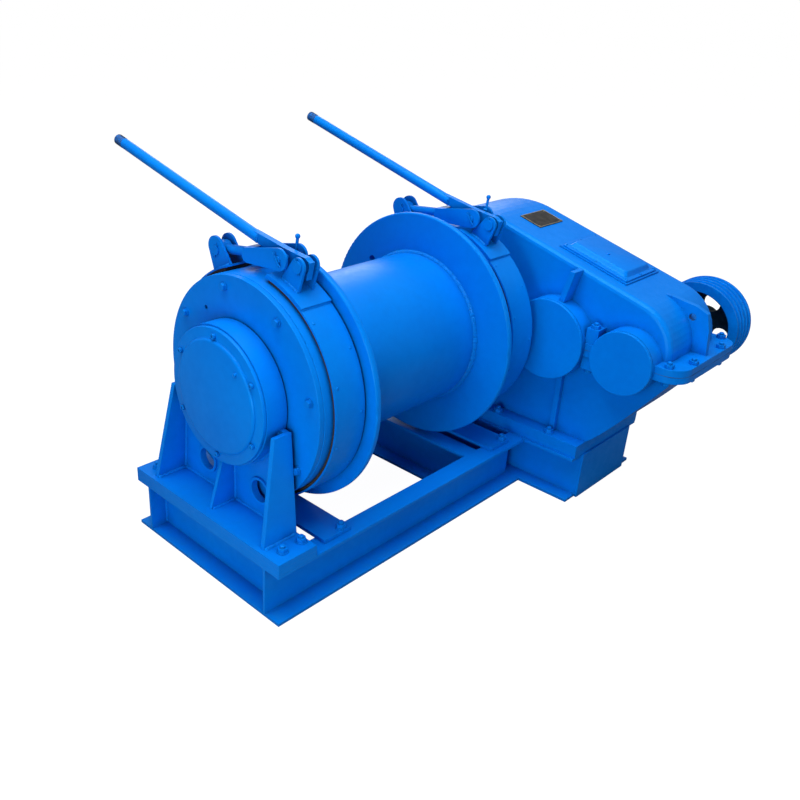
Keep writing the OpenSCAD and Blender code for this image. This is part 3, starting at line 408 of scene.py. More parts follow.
# a profile carried along a path, with closed ends or round to its start; profiles is path x corners x 3
def strip(profiles, closed=False):
    profiles = np.asarray(profiles, float)
    count, corners = profiles.shape[:2]
    faces = []
    for i in range(count if closed else count - 1):
        j = (i + 1) % count
        for k in range(corners):
            m = (k + 1) % corners
            faces.append([i * corners + k, i * corners + m, j * corners + m, j * corners + k])
    if not closed:
        faces.append(list(range(corners))[::-1])
        faces.append([(count - 1) * corners + k for k in range(corners)])
    return profiles.reshape(-1, 3), faces


# even angles round a circle, and the points of a circle of radius 1 between two directions
def anglesOf(segments):
    return np.arange(segments) * 2 * math.pi / segments


def circleOf(segments, first, second):
    angles = anglesOf(segments)
    return np.cos(angles)[:, None] * first + np.sin(angles)[:, None] * second


# a turned shell round an axis through origin; profile is a list of (along, radius) pairs
def turned(origin, axis, profile, segments):
    axis = np.array(axis, float) / np.linalg.norm(axis)
    first = np.cross(axis, (0, 0, 1.0) if abs(axis[2]) < 0.9 else (1.0, 0, 0))
    first /= np.linalg.norm(first)
    circle = circleOf(segments, first, np.cross(axis, first))
    return strip([np.array(origin) + axis * along + circle * radius for along, radius in profile])


# the two band brakes: the middle of each band along X, its lever's fulcrum and slope at rest, and how far
# its fulcrum plates are turned round the drum; angles are in degrees
brakeGear = {"fulcrum": 67.5, "fulcrumRadius": 433.0, "ear": 61.8, "earRadius": 415.0, "band": 361.5}
brakes = {
    "left": {"middle": 230.5, "fulcrum": (-165.7, 990.0), "slope": 13.8, "turn": 0.0},
    "right": {"middle": 1070.0, "fulcrum": None, "slope": 15.7, "turn": 3.8},
}


def roundDrum(angle, radius):
    turn = math.radians(angle)
    return radius * math.cos(turn), drumHeight + radius * math.sin(turn)


fulcrumAt = 180 - brakeGear["fulcrum"] + brakes["right"]["turn"]
brakes["right"]["fulcrum"] = roundDrum(fulcrumAt, brakeGear["fulcrumRadius"])
earPin = roundDrum(brakeGear["ear"], brakeGear["earRadius"])

# weld beads: fillets with the ripple of a hand weld, laid between two directions from a line of points
weld = {"pitch": 5.0, "ripple": 0.1, "sink": 1.2, "step": 1.4, "wander": 0.03, "drift": 0.12, "seed": 11}
chance = np.random.default_rng(weld["seed"])


def bead(points, first, second, leg, closed=False):
    points = np.asarray(points, float)
    first = np.broadcast_to(np.asarray(first, float), points.shape)
    second = np.broadcast_to(np.asarray(second, float), points.shape)
    if len(points) == 2:
        count = max(3, int(np.linalg.norm(points[1] - points[0]) / weld["step"]))
        t = np.linspace(0, 1, count)[:, None]
        points = points[0] * (1 - t) + points[1] * t
        first, second = (way[0] * (1 - t) + way[1] * t for way in (first, second))
    gaps = np.linalg.norm(np.diff(points, axis=0), axis=1)
    run = np.concatenate([[0], np.cumsum(gaps)])
    pitch = weld["pitch"]
    if closed:
        whole = run[-1] + np.linalg.norm(points[0] - points[-1])
        pitch = whole / max(1, round(whole / pitch))
    phase = (run / pitch) % 1.0
    slow = np.cumsum(chance.normal(0, weld["wander"], len(run)))
    slow -= np.linspace(slow[0], slow[-1], len(run))
    slow = np.clip(slow, -weld["drift"], weld["drift"])
    size = leg * (1 + weld["ripple"] * (1 - (1 - phase) ** 2 * 2) + slow)
    if not closed:
        size *= np.minimum(1, 0.55 + np.minimum(run, run[-1] - run) / leg * 0.45)
    profiles = []
    sink = weld["sink"]
    for spot, one, other, reach in zip(points, first, second, size):
        profile = [spot - sink * (one + other), spot + one * reach - other * sink, spot + one * reach]
        for t in (0.25, 0.5, 0.75):
            away = reach * (0.5 + 0.12 * math.sin(math.pi * t))
            profile.append(spot + one * (away * 2 * (1 - t)) + other * (away * 2 * t))
        profile += [spot + other * reach, spot + other * reach - one * sink]
        profiles.append(profile)
    shellPoints, shellFaces = strip(profiles, closed)
    return shellPoints * mm, shellFaces


# points on an arc round the drum's axis, and the directions away from the axis there
def around(radius, start, end, x, step=weld["step"]):
    count = max(4, int(abs(math.radians(end - start)) * radius / step))
    whole = abs(end - start) >= 359.9
    angles = np.radians(np.linspace(start, end, count, endpoint=not whole))
    radial = np.stack([np.zeros(count), np.cos(angles), np.sin(angles)], 1)
    return radial * radius + np.array([x, 0, drumHeight]), radial


# pedestal welds: leaning gussets, middle rib and housing
pedestal = {"leg": 6.0, "floor": 218.0, "gusset": 258.0, "thickness": 16.0, "lean": 5.0, "top": 540.0,
    "front": -12.0, "back": 111.0, "wall": 98.0, "rib": 6.0, "ribFront": 8.0, "ribTop": 383.0,
    "housing": 217.0, "arc": (194, 346)}
lean = math.radians(pedestal["lean"])
leg, floor, wall = pedestal["leg"], pedestal["floor"], pedestal["wall"]
front, back = pedestal["front"], pedestal["back"]
shells = []
for side in (-1, 1):
    outer = side * (pedestal["gusset"] + pedestal["thickness"] / math.cos(lean))
    inner = side * pedestal["gusset"]
    rib = side * pedestal["rib"]
    up = (0, -side * math.sin(lean), math.cos(lean))
    top = (wall, inner - side * (pedestal["top"] - floor) * math.tan(lean), pedestal["top"])
    shells += [
        bead([(front, outer, floor), (back, outer, floor)], (0, side, 0), up, leg),
        bead([(front, inner, floor), (wall, inner, floor)], (0, -side, 0), up, leg),
        bead([(wall, rib, floor), (wall, inner, floor)], (-1, 0, 0), (0, 0, 1), leg),
        bead([(pedestal["ribFront"], rib, floor), (wall, rib, floor)], (0, side, 0), (0, 0, 1), leg - 1),
        bead([(wall, rib, floor), (wall, rib, pedestal["ribTop"])], (-1, 0, 0), (0, side, 0), leg - 1),
        bead([(wall, inner, floor), top], (-1, 0, 0), (0, -side, 0), leg),
    ]
points, radial = around(pedestal["housing"], *pedestal["arc"], wall)
shells.append(bead(points, radial, (-1, 0, 0), leg))
piece("pedestalWelds", shells, paintWeld, "base")

# frame welds, at the corners of the end and cross channels: each row is a web's face and its side
frameWeld = {"leg": 5.5, "side": 287.0, "inside": (11.0, 169.0), "outside": (0.5, 179.5),
    "rows": ((30.5, -1), (40.0, 1), (985.0, 1), (975.5, -1))}
shells = []
for side in (-1, 1):
    y = side * frameWeld["side"]
    for x, away in frameWeld["rows"]:
        low, high = frameWeld["inside" if away < 0 else "outside"]
        shells.append(bead([(x, y, low), (x, y, high)], (away, 0, 0), (0, -side, 0), frameWeld["leg"]))
piece("frameWelds", shells, paintWeld, "base")

# drum welds, each a radius, a place, a side and a leg: barrel to both flanges, brake rim to its flange
drumWeld = {"step": 1.8, "rows": ((265.0, 315.0, 1, 10.0), (265.0, 930.0, -1, 10.0), (345.0, 950.0, 1, 6.0))}
shells = []
for radius, x, away, leg in drumWeld["rows"]:
    points, radial = around(radius, 0, 360, x, drumWeld["step"])
    shells.append(bead(points, radial, (away, 0, 0), leg, closed=True))
piece("drumWelds", shells, paintWeld, "drum")

# brake gear welds: fulcrum plates on the wrap plates, ears on the bands, ends of the wrap plates
brakeWeld = {"leg": 4.5, "endLeg": 3.6, "wrap": 368.5, "width": 56.0, "plate": 30.0, "ear": 29.0,
    "plateArc": (-6.5, 4.5), "earArc": (-6, 6.5), "ends": ((-12, -1), (13, 1))}
shells = []
for brake in brakes.values():
    middle = brake["middle"]
    plateAt = 180 - brakeGear["fulcrum"] + brake["turn"]
    arcs = [(brakeWeld["wrap"], plateAt, brakeWeld["plateArc"], brakeWeld["plate"]),
        (brakeGear["band"], brakeGear["ear"], brakeWeld["earArc"], brakeWeld["ear"])]
    for side in (-1, 1):
        for radius, angle, arc, out in arcs:
            points, radial = around(radius, angle + arc[0], angle + arc[1], middle + side * out)
            shells.append(bead(points, (side, 0, 0), radial, brakeWeld["leg"]))
    for turn, way in brakeWeld["ends"]:
        angle = math.radians(plateAt + turn)
        radial = np.array([0, math.cos(angle), math.sin(angle)])
        along = np.array([0, -math.sin(angle), math.cos(angle)]) * way
        spot = radial * brakeGear["band"] + np.array([0, 0, drumHeight])
        ends = [spot + (middle + side * brakeWeld["width"], 0, 0) for side in (-1, 1)]
        shells.append(bead(ends, along, radial, brakeWeld["endLeg"]))
piece("brakeWelds", shells, paintWeld, "base")
print("welds ready")


# a node group for parts that repeat: it takes a part, a material and the values in sockets
def groupOf(name, sockets):
    group = bpy.data.node_groups.new(name, "GeometryNodeTree")
    group.interface.new_socket("Geometry", in_out="INPUT", socket_type="NodeSocketGeometry")
    group.interface.new_socket("Geometry", in_out="OUTPUT", socket_type="NodeSocketGeometry")
    common = [
        ("Part", "NodeSocketObject", None),
        ("Material", "NodeSocketMaterial", None),
        ("Seed", "NodeSocketInt", 3),
        ("Spin", "NodeSocketFloat", 0.0),
    ]
    for socketName, kind, value in common + sockets:
        made = group.interface.new_socket(socketName, in_out="INPUT", socket_type=kind)
        if value is not None:
            made.default_value = value
    board = Board(group)
    return group, board, board.add("NodeGroupInput")


# the geometry of the object at one of the group's inputs
def meshOf(board, entry, key):
    info = board.add("GeometryNodeObjectInfo", {"transform_space": "ORIGINAL"}, {"Object": entry.at(key)})
    return info.at("Geometry")


# a random turn up to Spin either way, different at each place
def looseTurn(board, entry):
    inputs = {"Seed": entry.at("Seed"), 2: -1.0, 3: 1.0}
    return board.add("FunctionNodeRandomValue", {"data_type": "FLOAT"}, inputs, output=1) * entry.at("Spin")


# the part set on every point, made real and given its material
def closeGroup(board, entry, points, turn):
    placing = {"Points": points, "Instance": meshOf(board, entry, "Part"), "Rotation": turn}
    placed = board.add("GeometryNodeInstanceOnPoints", {}, placing)
    real = board.add("GeometryNodeRealizeInstances", {}, {"Geometry": placed})
    coated = board.add("GeometryNodeSetMaterial", {}, {"Geometry": real, "Material": entry.at("Material")})
    board.put(coated, board.add("NodeGroupOutput").inputs["Geometry"])


# parts set out on an arc round the X axis, every second one on the other side of its middle
arcGroup, board, entry = groupOf("arcRepeat", [
    ("Count", "NodeSocketInt", 8),
    ("Radius", "NodeSocketFloat", 0.3),
    ("Start", "NodeSocketFloat", 0.0),
    ("Step", "NodeSocketFloat", 0.7),
    ("Across", "NodeSocketFloat", 0.0),
    ("Middle", "NodeSocketVector", (0.0, 0.0, 0.0)),
])
order = board.add("GeometryNodeInputIndex")
angle = entry.at("Start") + entry.at("Step") * order
odd = board.calculate("MODULO", order, 2.0)
spot = board.add("ShaderNodeCombineXYZ", {}, {
    0: entry.at("Across") * (odd * 2.0 - 1.0),
    1: board.calculate("COSINE", angle) * entry.at("Radius"),
    2: board.calculate("SINE", angle) * entry.at("Radius"),
})
place = board.vector("ADD", spot, entry.at("Middle"))
dots = board.add("GeometryNodePoints", {}, {"Count": entry.at("Count"), "Position": place})
turn = board.add("ShaderNodeCombineXYZ", {}, {0: angle + looseTurn(board, entry)})
closeGroup(board, entry, dots, turn)

# parts set out on the vertices of a mesh, each spun a little about its upright axis
spotGroup, board, entry = groupOf("spotRepeat", [
    ("Places", "NodeSocketObject", None),
    ("Tilt", "NodeSocketFloat", 0.0),
])
dots = board.add("GeometryNodeMeshToPoints", {}, {"Mesh": meshOf(board, entry, "Places")})
turn = board.add("ShaderNodeCombineXYZ", {}, {0: entry.at("Tilt"), 2: looseTurn(board, entry)})
closeGroup(board, entry, dots, turn)


def repeat(name, group, material, values):
    holder = shown(name + "Holder", bpy.data.meshes.new(name + "Holder"))
    modifier = holder.modifiers.new("repeat", "NODES")
    modifier.node_group = group
    sockets = {item.name: item.identifier for item in group.interface.items_tree if item.in_out == "INPUT"}
    for key, value in {**values, "Material": material}.items():
        modifier[sockets[key]] = value
    bpy.context.view_layer.update()
    result = bpy.data.meshes.new_from_object(holder.evaluated_get(bpy.context.evaluated_depsgraph_get()))
    holder.modifiers.clear()
    bpy.data.objects.remove(holder)
    for key in ("Part", "Places"):
        if key in values:
            bpy.data.objects.remove(values[key])
    return finishPiece(name, result, material, "base")


def scaled(profile):
    return [(along * mm, radius * mm) for along, radius in profile]


# a turned part at the origin, standing along an axis
def turnedPart(name, axis, profile, segments):
    return shown(name, shellMesh(name, [turned((0, 0, 0), axis, scaled(profile), segments)]))


def placesMesh(name, places):
    return shown(name, shellMesh(name, [([tuple(value * mm for value in place) for place in places], [])]))


# rivets that hold the linings, in two staggered rows on each band
rivets = {"radius": 5.0, "rise": 1.8, "row": 42.0, "from": 133.0, "step": 15.0, "count": 20, "seed": 5}
radius, rise = rivets["radius"], rivets["rise"]
profile = [(-1.0, radius), (0.3, radius), (rise * 0.55, radius * 0.86), (rise * 0.85, radius * 0.6),
    (rise, radius * 0.25)]
for side, brake in brakes.items():
    repeat("bandRivets" + side.capitalize(), arcGroup, paintSmall, {
        "Part": turnedPart("rivetPart", (0, 1, 0), profile, 20),
        "Count": rivets["count"],
        "Radius": brakeGear["band"] * mm,
        "Start": math.radians(rivets["from"]),
        "Step": math.radians(rivets["step"]),
        "Across": rivets["row"] * mm,
        "Middle": (brake["middle"] * mm, 0.0, drumHeight * mm),
        "Seed": rivets["seed"],
        "Spin": 0.0,
    })

# bearing cover: a flange with a domed middle and a grease plug in its upper half; it looks towards -X
cover = {"back": 50.0, "face": 38.0, "rim": 212.0, "round": 2.2, "dome": 179.0, "crown": 17.0,
    "shoulder": 9.0, "recess": (46.0, 155.0), "bore": 60.0, "step": 0.6, "segments": 96,
    "rings": (178.8, 178.2, 177.0, 175.0, 172.5, 170.0, 165.0, 154.0, 138.0, 118.0, 98.0, 76.0, 52.0,
        28.0, 8.0)}
plug = {"circle": 151.0, "angle": 133.5, "radius": 6.5, "rise": 6.0}
back, face, rim, step = cover["back"], cover["face"], cover["rim"], cover["step"]
recess, recessRadius = cover["recess"]


def domeAt(radius):
    edge = min(1.0, (cover["dome"] - radius) / cover["shoulder"])
    shoulder = 0.42 * math.sqrt(edge * (2 - edge))
    return face - step - cover["crown"] * (shoulder + 0.58 * (1 - (radius / cover["dome"]) ** 2))


profile = [(recess, cover["bore"]), (recess, recessRadius), (back, recessRadius + 0.5), (back, rim - step),
    (back - step, rim)]
for degrees in (0, 30, 60, 90):
    angle = math.radians(degrees)
    profile.append((face + cover["round"] * (1 - math.sin(angle)),
        rim - cover["round"] * (1 - math.cos(angle))))
profile += [(face, cover["dome"] + 1.5), (face - step, cover["dome"])]
profile += [(domeAt(radius), radius) for radius in cover["rings"]]
coverShell = turned((0, 0, drumHeight * mm), (1, 0, 0), scaled(profile), cover["segments"])
angle = math.radians(plug["angle"])
spot = (domeAt(plug["circle"]), plug["circle"] * math.cos(angle),
    drumHeight + plug["circle"] * math.sin(angle))
radius, rise = plug["radius"], plug["rise"]
plugProfile = scaled([(-2.0, radius), (rise - 1.2, radius), (rise, radius - 1.8)])
plugShell = turned(np.array(spot) * mm, (-1, 0, 0), plugProfile, 20)
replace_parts(piece("domedCover", [coverShell, plugShell], paintTurned, "base"), "bearing_cover")

# socket heads on the bearing cover's screws
heads = {"count": 6, "radius": 8.2, "circle": 191.0, "face": 32.2, "rise": 3.6, "round": 0.9,
    "socket": 3.4, "deep": 2.2, "start": 30, "spin": 0.6, "segments": 24, "seed": 8}
turns = anglesOf(heads["segments"])
hexRadii = heads["socket"] / np.cos((turns + math.pi / 6) % (math.pi / 3) - math.pi / 6)


def headRing(radii, x):
    return np.stack([np.full(len(turns), x), np.cos(turns) * radii, np.sin(turns) * radii], 1) * mm


radius, rise = heads["radius"], heads["rise"]
rings = [headRing(radius, 0.8), headRing(radius, -rise * 0.7), headRing(radius - heads["round"], -rise),
    headRing(hexRadii, -rise), headRing(hexRadii, heads["deep"] - rise)]
repeat("coverScrewHeads", arcGroup, paintSmall, {
    "Part": shown("coverHeadPart", shellMesh("coverHeadPart", [strip(rings)])),
    "Count": heads["count"],
    "Radius": heads["circle"] * mm,
    "Start": math.radians(heads["start"]),
    "Step": 2 * math.pi / heads["count"],
    "Across": 0.0,
    "Middle": (heads["face"] * mm, 0.0, drumHeight * mm),
    "Seed": heads["seed"],
    "Spin": heads["spin"],
})

# lower gear case with the photo's lean front: the mesh is cut off outside it and walled up along it
belly = {"x": (1260.05, 1589.95), "foot": (-563.0, 229.0), "joint": (-830.0, 566.0), "bend": 1.13,
    "wall": 42.0, "steps": 24, "reach": 60.0, "skin": 0.1, "lap": 5.0}
footY, footZ = belly["foot"]
jointY, jointZ = belly["joint"]
skin, lap, thick = belly["skin"], belly["lap"], belly["wall"]
front = [(footY + t * (jointY - footY), footZ + t ** belly["bend"] * (jointZ - footZ))
    for t in np.linspace(0, 1, belly["steps"] + 1)]
outside = front[:-1] + [(jointY - skin, jointZ - skin), (jointY - belly["reach"], jointZ - skin),
    (jointY - belly["reach"], footZ + skin), (footY - 1, footZ + skin)]
inside = [(footY + skin, footZ - lap)] + front + [(jointY + skin, jointZ + lap),
    (jointY + thick, jointZ + lap), (footY + thick, footZ), (footY + thick, footZ - lap)]


def prismAlongX(outline, x0, x1):
    return strip([[(x * mm, y * mm, z * mm) for y, z in outline] for x in (x0, x1)])


x0, x1 = belly["x"]
lowerMesh = carve(closedCopy("case_lower"), "DIFFERENCE", prismAlongX(outside, x0 - 1, x1 + 1))
lowerMesh = carve(lowerMesh, "UNION", prismAlongX(inside, x0, x1))
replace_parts(finishPiece("caseLower", lowerMesh, paintCast, "base"), "case_lower")

# threaded ends standing out of the nuts, at the places of the bolts on the frame and on the case
stud = {"radius": 8.4, "pitch": 2.0, "depth": 0.9, "stand": 7.0, "spin": 3.1, "seed": 21}
bolts = {
    "frameStuds": [(x, side * 313.0, 233.0) for x in (22, 95) for side in (-1, 1)]
        + [(x, side * 313.0, 207.0) for x in (260.5, 1100) for side in (-1, 1)]
        + [(x, y, 244.0) for x in (1218, 1630) for y in (-434, -210, 240)],
    "caseStuds": [(x, y, 680.0 if x < 1300 and y in (-540, -215) else 626.0) for x in (1227, 1623)
        for y in (-810, -540, -215, 205, 330)]
        + [(x, y, 626.0) for x in (1320, 1530) for y in (388, -848)],
}
radius, stand = stud["radius"], stud["stand"]
teeth = [(-1.5, radius)]
for i in range(int(stand / stud["pitch"])):
    foot = i * stud["pitch"]
    teeth += [(foot + 0.4, radius), (foot + 1.0, radius - stud["depth"]), (foot + 1.6, radius)]
teeth += [(stand, radius - 0.4), (stand + 1.0, radius - 2.0)]
for name, places in bolts.items():
    repeat(name, spotGroup, paintSmall, {
        "Part": turnedPart("studPart", (0, 0, 1), teeth, 20),
        "Places": placesMesh("studPlaces", places),
        "Seed": stud["seed"],
        "Spin": stud["spin"],
        "Tilt": 0.0,
    })
print("repeats ready")


# the sloping top of the gear case
slopeTop = {"round": 366.0, "tilt": 15.67}


# the point that is along up the slope from (0, y), and high above it
def onSlope(y, x, along, high):
    tilt = math.radians(slopeTop["tilt"])
    top = drumHeight + (slopeTop["round"] + y * math.sin(tilt)) / math.cos(tilt)
    return np.array([x, y + along * math.cos(tilt) - high * math.sin(tilt),
        top + along * math.sin(tilt) + high * math.cos(tilt)])


# pressed lid of the inspection opening: a flat flange, a raised pan with sloping sides and a small plug;
# sides are parts of the rise, each with how many times the edge it lies further in than the slope
lid = {"y": -308.0, "flange": (1322.0, 1538.0, -271.0, -7.0), "pan": (1342.0, 1516.0, -255.0, -22.0),
    "low": 5.0, "high": 11.0, "rise": 16.0, "lean": 9.0, "flangeCorner": 6.0, "corner": 12.0, "edge": 1.2,
    "sides": ((0.5, 0.0), (0.85, 0.0), (0.95, 0.6), (1.0, 2.4))}
panPlug = {"x": 1402.0, "along": -140.0, "radius": 5.5, "rise": 5.0, "chamfer": 0.8}


def lidRing(box, inset, height, corner):
    x0, x1, s0, s1 = box[0] + inset, box[1] - inset, box[2] + inset, box[3] - inset
    ring = []
    for x, along, start in ((x1 - corner, s1 - corner, 0), (x0 + corner, s1 - corner, 90),
            (x0 + corner, s0 + corner, 180), (x1 - corner, s0 + corner, 270)):
        for degrees in range(start, start + 91, 15):
            angle = math.radians(degrees)
            ring.append(onSlope(lid["y"], x + corner * math.cos(angle), along + corner * math.sin(angle),
                height) * mm)
    return ring


low, high, edge = lid["low"], lid["high"], lid["edge"]
levels = [(lid["flange"], 0.0, low, lid["flangeCorner"]),
    (lid["flange"], 0.0, high - edge, lid["flangeCorner"]),
    (lid["flange"], edge, high, lid["flangeCorner"]),
    (lid["pan"], -edge * 1.6, high, lid["corner"]),
    (lid["pan"], 0.0, high + edge * 1.6, lid["corner"])]
for t, further in lid["sides"]:
    levels.append((lid["pan"], lid["lean"] * t + edge * further, high + lid["rise"] * t, lid["corner"]))
radius, rise, chamfer = panPlug["radius"], panPlug["rise"], panPlug["chamfer"]
plugFoot = onSlope(lid["y"], panPlug["x"], panPlug["along"], high + lid["rise"] - 1.0) * mm
plugUp = onSlope(lid["y"], panPlug["x"], panPlug["along"], 100.0) * mm - plugFoot
plugProfile = scaled([(0.0, radius), (rise - chamfer, radius), (rise, radius - chamfer)])
lidShells = [strip([lidRing(*level) for level in levels]), turned(plugFoot, plugUp, plugProfile, 6)]
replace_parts(piece("lidPan", lidShells, paintRolled, "base"), "inspection_lid")

# screws round the edge of the lid: a round washer face and a hexagon
lidScrews = {"x": (1332.0, 1429.0, 1528.0), "along": (-263.5, -14.5), "middle": -138.0, "radius": 3.4,
    "rise": 2.6, "spin": 1.5, "seed": 4}
radius, rise = lidScrews["radius"], lidScrews["rise"]
places = [(x, along) for x in lidScrews["x"] for along in lidScrews["along"]]
places += [(x, lidScrews["middle"]) for x in lidScrews["x"][::2]]
washer = [(-1, radius * 1.5), (0.9, radius * 1.5), (1.0, radius * 1.45)]
hexagon = [(0.5, radius * 1.1), (rise - 0.6, radius * 1.1), (rise, radius * 0.95)]
head = shellMesh("lidHeadPart", [turned((0, 0, 0), (0, 0, 1), scaled(washer), 24),
    turned((0, 0, 0), (0, 0, 1), scaled(hexagon), 6)])
repeat("lidScrews", spotGroup, paintSmall, {
    "Part": shown("lidHeadPart", head),
    "Places": placesMesh("lidPlaces", [onSlope(lid["y"], x, along, high) for x, along in places]),
    "Seed": lidScrews["seed"],
    "Spin": lidScrews["spin"],
    "Tilt": math.radians(slopeTop["tilt"]),
})

# rim and rivets of the bare nameplate; rimProfile is inwards from the edge and up from the plate
plate = {"y": -103.0, "x": (1365.0, 1515.0), "along": (-92.0, 0.0), "top": 3.0, "inset": 8.0,
    "rimProfile": ((0.2, -0.6), (0.2, 0.45), (0.8, 0.9), (2.6, 0.9), (3.2, 0.36), (3.2, -0.6)),
    "rivet": 2.6, "seed": 6}
(x0, x1), (s0, s1) = plate["x"], plate["along"]
corners = [(x0, s0, 1, 1), (x1, s0, -1, 1), (x1, s1, -1, -1), (x0, s1, 1, -1)]
rows = [[onSlope(plate["y"], x + dx * inwards, along + ds * inwards, plate["top"] + up) * mm
    for inwards, up in plate["rimProfile"]] for x, along, dx, ds in corners]
piece("nameplateRim", [strip(rows, closed=True)], plateTrim, "base")
radius, inset = plate["rivet"], plate["inset"]
places = [onSlope(plate["y"], x + dx * inset, along + ds * inset, plate["top"])
    for x, along, dx, ds in corners]
profile = [(-0.5, radius), (0.3, radius), (1.0, radius * 0.7), (1.3, radius * 0.3)]
repeat("nameplateRivets", spotGroup, plateTrim, {
    "Part": turnedPart("plateRivetPart", (0, 0, 1), profile, 16),
    "Places": placesMesh("platePlaces", places),
    "Seed": plate["seed"],
    "Spin": 0.0,
    "Tilt": math.radians(slopeTop["tilt"]),
})

# line of sealant squeezed out between the case halves, thicker here and thinner there
seam = {"x": (1205.0, 1645.0), "y": (-866.0, 408.0), "corner": 70.0, "half": 0.9, "out": 0.7, "arcSteps": 24,
    "step": 6.0, "swell": 0.35, "limits": (0.75, 1.25), "seed": 9}
corner, half = seam["corner"], seam["half"]
(x0, x1), (y0, y1) = seam["x"], seam["y"]
bends = []
for x, y, start in ((x1 - corner, y1 - corner, 0), (x0 + corner, y1 - corner, 90),
        (x0 + corner, y0 + corner, 180), (x1 - corner, y0 + corner, 270)):
    for i in range(seam["arcSteps"] + 1):
        angle = math.radians(start + i * 90 / seam["arcSteps"])
        away = np.array([math.cos(angle), math.sin(angle), 0])
        spot = np.array([x, y, drumHeight]) + away * corner
        bends.append(np.array([spot + away * out + (0, 0, up) for out, up in (
            (-1.0, -half), (0.2, -half), (seam["out"], 0), (0.2, half), (-1.0, half))]))
line = []
for row, following in zip(bends, bends[1:] + bends[:1]):
    count = max(1, int(np.linalg.norm(following[0] - row[0]) / seam["step"]))
    line += [row * (1 - k / count) + following * (k / count) for k in range(count)]
line = np.array(line)
draws = np.random.default_rng(seam["seed"]).normal(0, 1, len(line) + 8)
swell = 1 + seam["swell"] * np.convolve(draws, np.ones(9) / 3, "valid")[:len(line)]
core = line[:, 0:1, :] * 0.5 + line[:, 4:5, :] * 0.5
line[:, 1:4] = core + (line[:, 1:4] - core) * np.clip(swell, *seam["limits"])[:, None, None]
piece("caseSeam", [strip(line * mm, closed=True)], sealant, "base")
print("gear case details ready")

# brake levers: threaded tip, the weld of pipe and plate, and the plate's tail past the fulcrum
lever = {"length": 939.0, "pipe": -12.8, "radius": 16.85, "weldAt": 197.0, "weldLeg": 4.5, "plate": 20.0,
    "tail": [(7.5, 23.0), (-24.0, 20.0), (-24.0, -34.0), (7.0, -22.5)], "eye": 21.5, "chamfer": 0.8}
thread = {"length": 38.0, "pitch": 2.3, "depth": 0.9, "bore": 3.0, "cover": 0.05, "root": 0.4,
    "segments": 36, "stepsPerTurn": 12}


def onLever(brake, along, up, x):
    turn = math.radians(brake["slope"])
    y, z = brake["fulcrum"]
    return np.array([x, y + along * math.cos(turn) - up * math.sin(turn),
        z + along * math.sin(turn) + up * math.cos(turn)])


def threadedTip(brake):
    long, pitch, middle = thread["length"], thread["pitch"], brake["middle"]
    tip = onLever(brake, lever["length"], lever["pipe"], middle) * mm
    back = onLever(brake, lever["length"] - long, lever["pipe"], middle) * mm
    direction = (tip - back) / np.linalg.norm(tip - back)
    sideways = np.array([1.0, 0, 0])
    angles = anglesOf(thread["segments"])
    circle = circleOf(thread["segments"], sideways, np.cross(direction, sideways))
    smooth = lever["radius"] + thread["cover"]
    count = int(long / pitch) * thread["stepsPerTurn"]
    rows = []
    for i in range(count + 1):
        along = long * i / count
        ridge = np.abs((along / pitch + angles / (2 * math.pi)) % 1.0 - 0.5) * 2
        fade = max(min(1.0, along / 3.0, (long - along) / 2.5), 0.0)
        radii = smooth + thread["depth"] * (ridge - 0.45) * fade
        radii = np.maximum(radii, lever["radius"] - thread["root"])
        if i in (0, count):
            radii = np.full(len(angles), smooth)
        rows.append(back + direction * along * mm + circle * radii[:, None] * mm)
    bore = circle * (lever["radius"] - thread["bore"]) * mm
    rows += [back + direction * along * mm + bore for along in (long, 0.0)]
    return strip(rows, closed=True)


def leverWeld(brake):
    shells = []
    turn = math.radians(brake["slope"])
    away = np.array([0, math.cos(turn), math.sin(turn)])
    lift = np.array([0, -math.sin(turn), math.cos(turn)])
    face = onLever(brake, lever["weldAt"], lever["pipe"], brake["middle"])
    half = lever["plate"] / 2
    reach = math.sqrt(lever["radius"] ** 2 - half ** 2) - 0.5
    for side in (-1, 1):
        foot = face + np.array([side * half, 0, 0])
        points = np.array([foot + lift * up for up in np.linspace(-1, 1, 26) * reach])
        shells.append(bead(points, (side, 0, 0), -away, lever["weldLeg"]))
    return shells


def leverTail(brake):
    angles = [math.radians(degrees) for degrees in range(-70, -291, -10)]
    outline = lever["tail"] + [(lever["eye"] * math.cos(a), lever["eye"] * math.sin(a)) for a in angles]
    half, chamfer = lever["plate"] / 2, lever["chamfer"]
    rows = []
    for x, inset in ((-half, chamfer), (chamfer - half, 0), (half - chamfer, 0), (half, chamfer)):
        rows.append([onLever(brake, along + (inset if along < 0 else 0), up - math.copysign(inset, up),
            brake["middle"] + x) * mm for along, up in outline])
    return strip(rows)


for side, brake in brakes.items():
    body, ending = "lever_" + side, side.capitalize()
    piece("leverTip" + ending, [threadedTip(brake)], threadBlack, body)
    piece("leverWeld" + ending, leverWeld(brake), paintWeld, body)
    piece("leverTail" + ending, [leverTail(brake)], paintRolled, body)
print("levers ready")

# split pins through the brake gear's pins, each at a distance from the band's middle and with a turn
splitPin = {"wire": 1.5, "eye": 3.4, "leg": 15.0, "spread": 4.0, "apart": 0.8, "above": 14.0, "bend": 24.0,
    "fulcrum": (-33.0, 15), "ear": (-32.0, 160), "link": (-49.5, 35), "linkPin": (66.0, -8.0)}


# a round wire along a path
def wireShell(path, radius, segments=8):
    path = np.asarray(path, float)
    tangents = np.gradient(path, axis=0)
    tangents /= np.linalg.norm(tangents, axis=1)[:, None]
    normal = np.cross(tangents[0], (0.3, 0.5, 0.81))
    rows = []
    for spot, tangent in zip(path, tangents):
        normal = normal - tangent * np.dot(normal, tangent)
        normal /= np.linalg.norm(normal)
        rows.append(spot + radius * circleOf(segments, normal, np.cross(tangent, normal)))
    return strip(rows)


